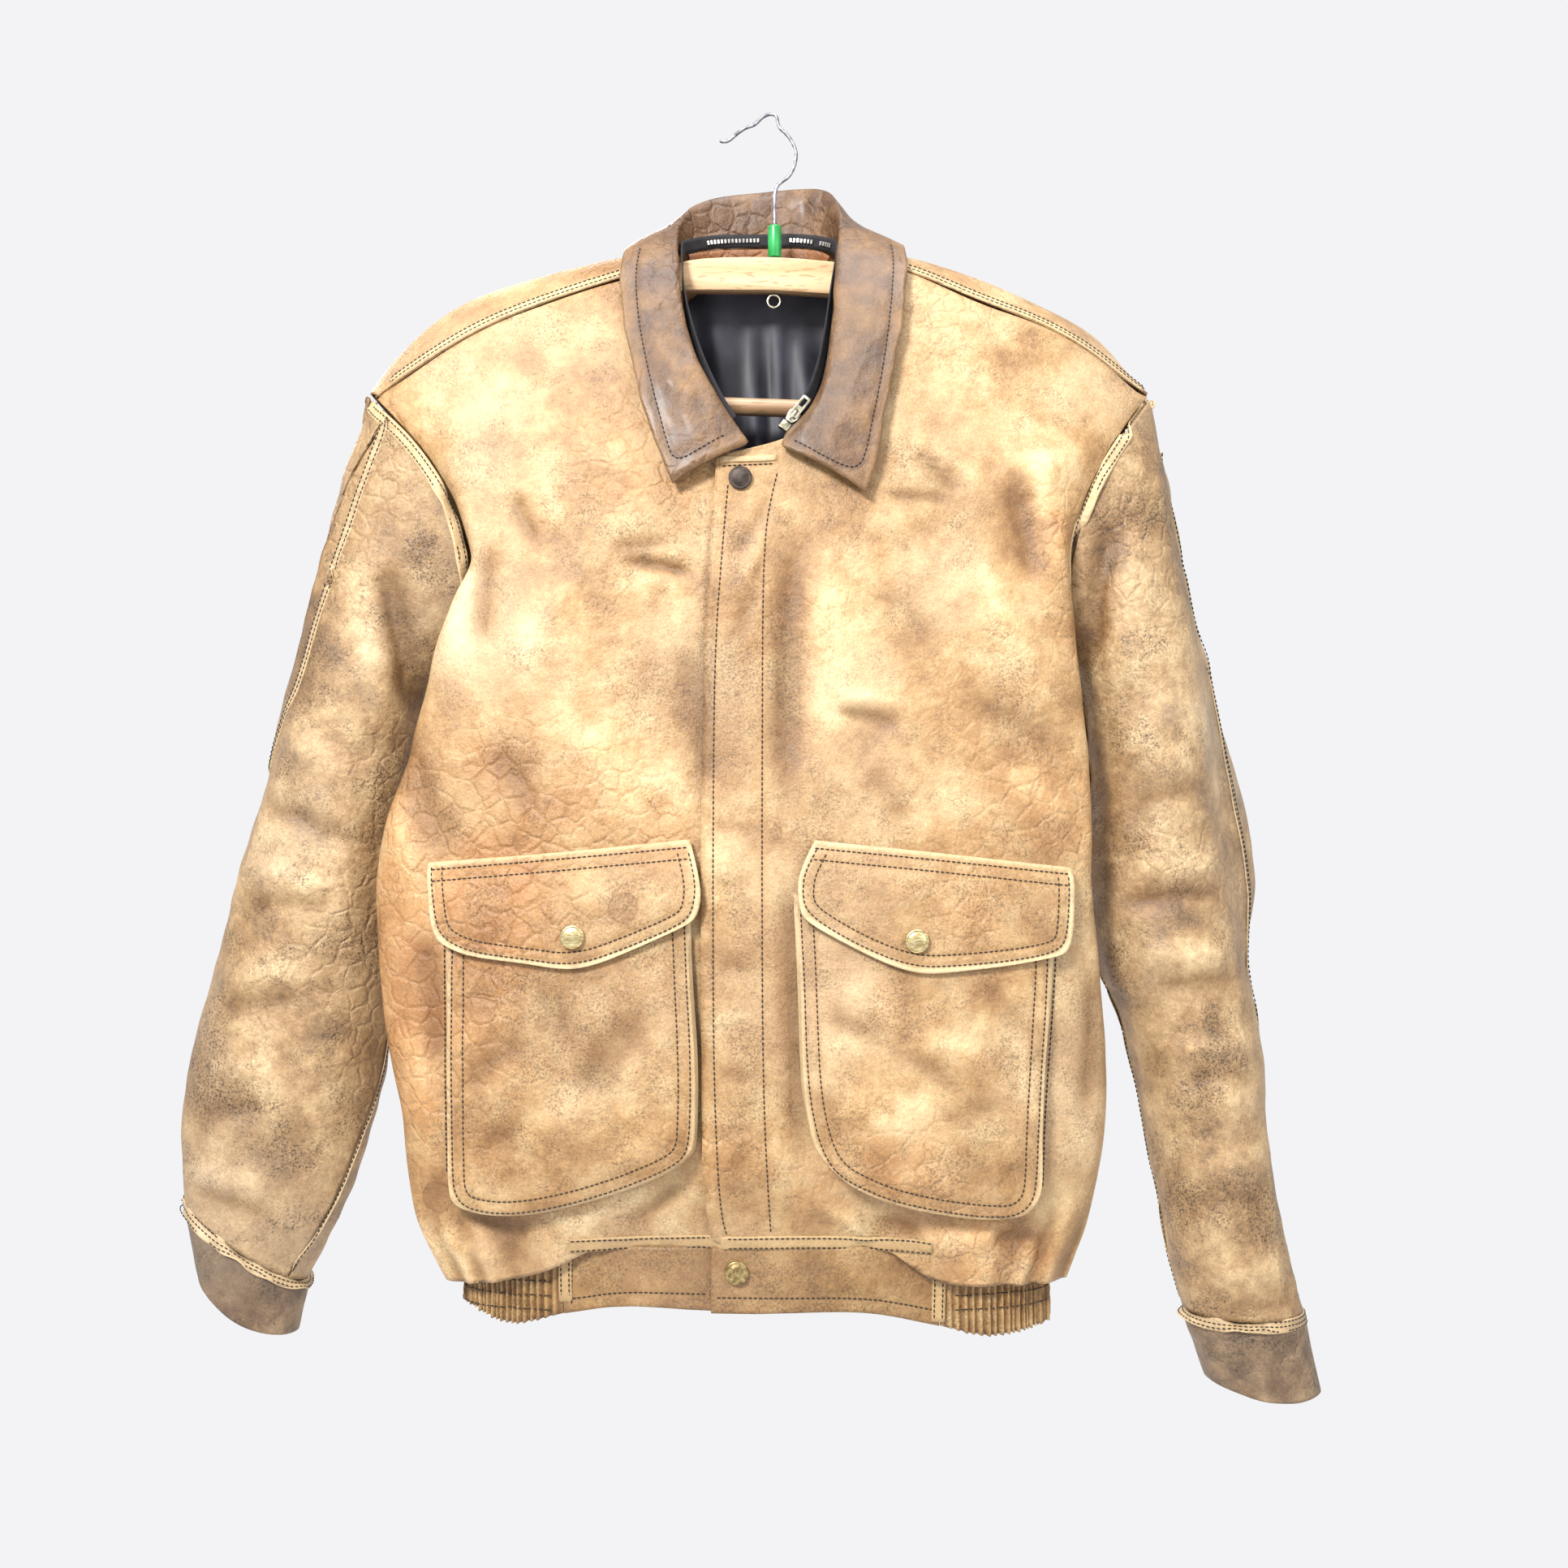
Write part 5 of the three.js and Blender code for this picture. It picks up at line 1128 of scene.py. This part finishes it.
# Snap caps: a rolled rim round a shallow dome, spun about its own axis.
snapLook = dict(rim=7.5, steps=40)
snaps = {
    "snap_pocket_right": dict(name="rightPocketSnap", material="brass", slot="brass"),
    "snap_pocket_left": dict(name="leftPocketSnap", material="brass", slot="brass"),
    "snap_neck": dict(name="neckSnap", material="darkSnap", slot="dark_snap"),
    "snap_waist": dict(name="waistSnap", material="agedSnap", slot="aged_brass"),
}
for node, look in snaps.items():
    low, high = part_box(node)
    centre = (low + high) / 2
    made = bmesh.new()
    outline = [(0, 2.4), (2.6, 2.25), (4.9, 1.75), (5.7, 1.35), (6.1, 1.3), (6.6, 1.5), (7.1, 1.3),
               (7.5, 0.7), (7.45, 0.1),
               (6.6, -0.6), (0, -0.6)]
    places = [made.verts.new(Vector((r * mm, high.y - h * mm - 0.0006, 0))) for r, h in outline]
    edges = [made.edges.new(pair) for pair in zip(places, places[1:])]
    bmesh.ops.spin(made, geom=places + edges, cent=(0, 0, 0), axis=(0, 1, 0), angle=2 * math.pi,
                   steps=snapLook["steps"], use_merge=True)
    bmesh.ops.remove_doubles(made, verts=made.verts, dist=0.01 * mm)
    bmesh.ops.translate(made, verts=made.verts, vec=(centre.x, 0, centre.z))
    finishPiece(made, look["name"], look["material"], replaced=(node,))


# Hard pieces: a merged copy of the solid, with small round edges.
hardPieces = {
    "hanger_arm": dict(name="hangerArm", material="beech", slot="beech", soft=True),
    "trouser_bar": dict(name="trouserBar", material="beechBar", slot="beech_bar", soft=True),
    "screw_eye": dict(name="screwEye", material="nickel", slot="nickel", levels=1),
    "hook": dict(name="wireHook", material="wire", slot="steel_wire", levels=1),
    "hook_sleeve": dict(name="hookSleeve", material="green", slot="green_plastic", bevel=0.5),
    "zip_slider": dict(name="zipSlider", material="nickel", slot="nickel", bevel=0.7),
    "zip_box": dict(name="zipBox", material="nickel", slot="nickel", bevel=0.5),
    "zip_arch": dict(name="zipArch", material="nickel", slot="nickel", bevel=0.2),
    "zip_pull": dict(name="pullTab", material="nickel", slot="nickel", bevel=0.25, rides="pull_tab"),
}
for node, look in hardPieces.items():
    made = cadCopy(node, joinFaces=not look.get("soft"))
    if look.get("soft") or look.get("bevel"):
        bmesh.ops.dissolve_limit(made, angle_limit=math.radians(1), verts=made.verts, edges=made.edges)
    if look.get("bevel"):
        sharp = [e for e in made.edges if len(e.link_faces) == 2 and e.calc_face_angle() > math.radians(35)]
        bmesh.ops.bevel(made, geom=sharp, offset=look["bevel"] * mm, offset_type="OFFSET", segments=2,
                        profile=0.5,
                        affect="EDGES", material=-1, clamp_overlap=True)
    piece = settle(made, look["name"], look["material"])
    if look.get("levels"):
        layer = piece.modifiers.new("smooth", "SUBSURF")
        layer.levels = layer.render_levels = look["levels"]
    else:
        piece.data.set_sharp_from_angle(angle=math.radians(38))
    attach(piece, look.get("rides", body))
    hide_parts(node)

# Zip teeth along the liner's tape, a row of small stamped blocks.
teethLook = dict(pitch=2.6, size=(1.5, 2.8, 1.2), inward=1.0)
tapeLine = [(-25, -56, -219), (-34, -50, -204), (-48, -38, -170), (-57, -25, -133), (-59.5, -14, -104),
            (-59.5, -4, -93), (-59, 4, -88), (-53, 13, -83.5), (-37, 22.5, -78), (-8, 26, -76.5),
            (18, 24.5, -76.5),
            (36, 16, -81.5), (43, 5, -87), (44, -4, -92), (43.5, -14, -102), (40, -25, -129), (37, -35, -157),
            (32, -43, -184), (24, -50, -205), (18, -53, -212)]
teeth = bmesh.new()
axis = Vector((-8, -15, 0))
line = resample(smoothLine(tapeLine), teethLook["pitch"])
for i in range(1, len(line) - 1):
    x, y, z = line[i]
    atBack = y > 8 and (-46 < x < -9 or 13 < x < 30 or x > 34)
    if not (atBack or z < -186):
        continue  # the collar covers the rest
    ahead = (line[i + 1] - line[i - 1]).normalized()
    inward = (Vector((axis.x, axis.y, line[i].z)) - line[i]).normalized()
    across = ahead.cross(inward).normalized()
    turn = Matrix((ahead, across, inward)).transposed().to_4x4()
    size = Matrix.Diagonal(tuple(s * mm for s in teethLook["size"]) + (1,))
    place = (line[i] + inward * teethLook["inward"]) * mm
    bmesh.ops.create_cube(teeth, size=1.0, matrix=Matrix.Translation(place) @ turn @ size)
bmesh.ops.bevel(teeth, geom=list(teeth.edges), offset=0.15 * mm, segments=1, profile=0.5, affect="EDGES",
                material=-1)
finishPiece(teeth, "linerZipTeeth", "teeth", smooth=False)
print("trims made")


# Floor, light and camera
floor = bmesh.new()
bmesh.ops.create_grid(floor, x_segments=1, y_segments=1, size=2.2)
bmesh.ops.translate(floor, verts=floor.verts, vec=(0, 0, -2.05))
ground = bpy.data.meshes.new("floor")
floor.to_mesh(ground)
floor.free()
groundMaterial, groundTree, groundShader = newMaterial("paintedPlaster", Roughness=0.8)
groundShader.inputs["Base Color"].default_value = linear("#ECEAEA")
ground.materials.append(groundMaterial)
groundPiece = bpy.data.objects.new("floor", ground)
scene.collection.objects.link(groundPiece)

world = bpy.data.worlds.new("studio")
world.use_nodes = True
sky = world.node_tree.nodes["Background"]
sky.inputs["Color"].default_value = linear("#FCFCFE")
sky.inputs["Strength"].default_value = 0.92
scene.world = world
lights = {
    "key": dict(at=(-0.9, -1.9, 0.9), aim=(0, 0, -0.42), size=0.55, power=92),
    "fill": dict(at=(1.5, -1.6, 0.1), aim=(0, 0, -0.45), size=1.2, power=12),
    "top": dict(at=(0.1, -0.5, 1.5), aim=(0, 0, -0.4), size=0.9, power=30),
    "rear": dict(at=(-0.8, 1.9, 0.7), aim=(0, 0, -0.45), size=1.2, power=45),
}
for name, look in lights.items():
    lamp = bpy.data.lights.new(name, "AREA")
    lamp.shape = "DISK"
    lamp.size = look["size"]
    lamp.energy = look["power"]
    holder = bpy.data.objects.new(name, lamp)
    holder.location = look["at"]
    holder.rotation_euler = (Vector(look["aim"]) - Vector(look["at"])).to_track_quat("-Z", "Y").to_euler()
    scene.collection.objects.link(holder)

cameraLook = dict(at=(0.0088, -1.14, -0.453), view=50)
lens = bpy.data.cameras.new("camera")
lens.sensor_width = 36
lens.lens = 18 / math.tan(math.radians(cameraLook["view"] / 2))
camera = bpy.data.objects.new("camera", lens)
camera.location = cameraLook["at"]
camera.rotation_euler = (math.pi / 2, 0, 0)
scene.collection.objects.link(camera)
scene.camera = camera
scene.view_settings.view_transform = "Standard"

print("scene ready")
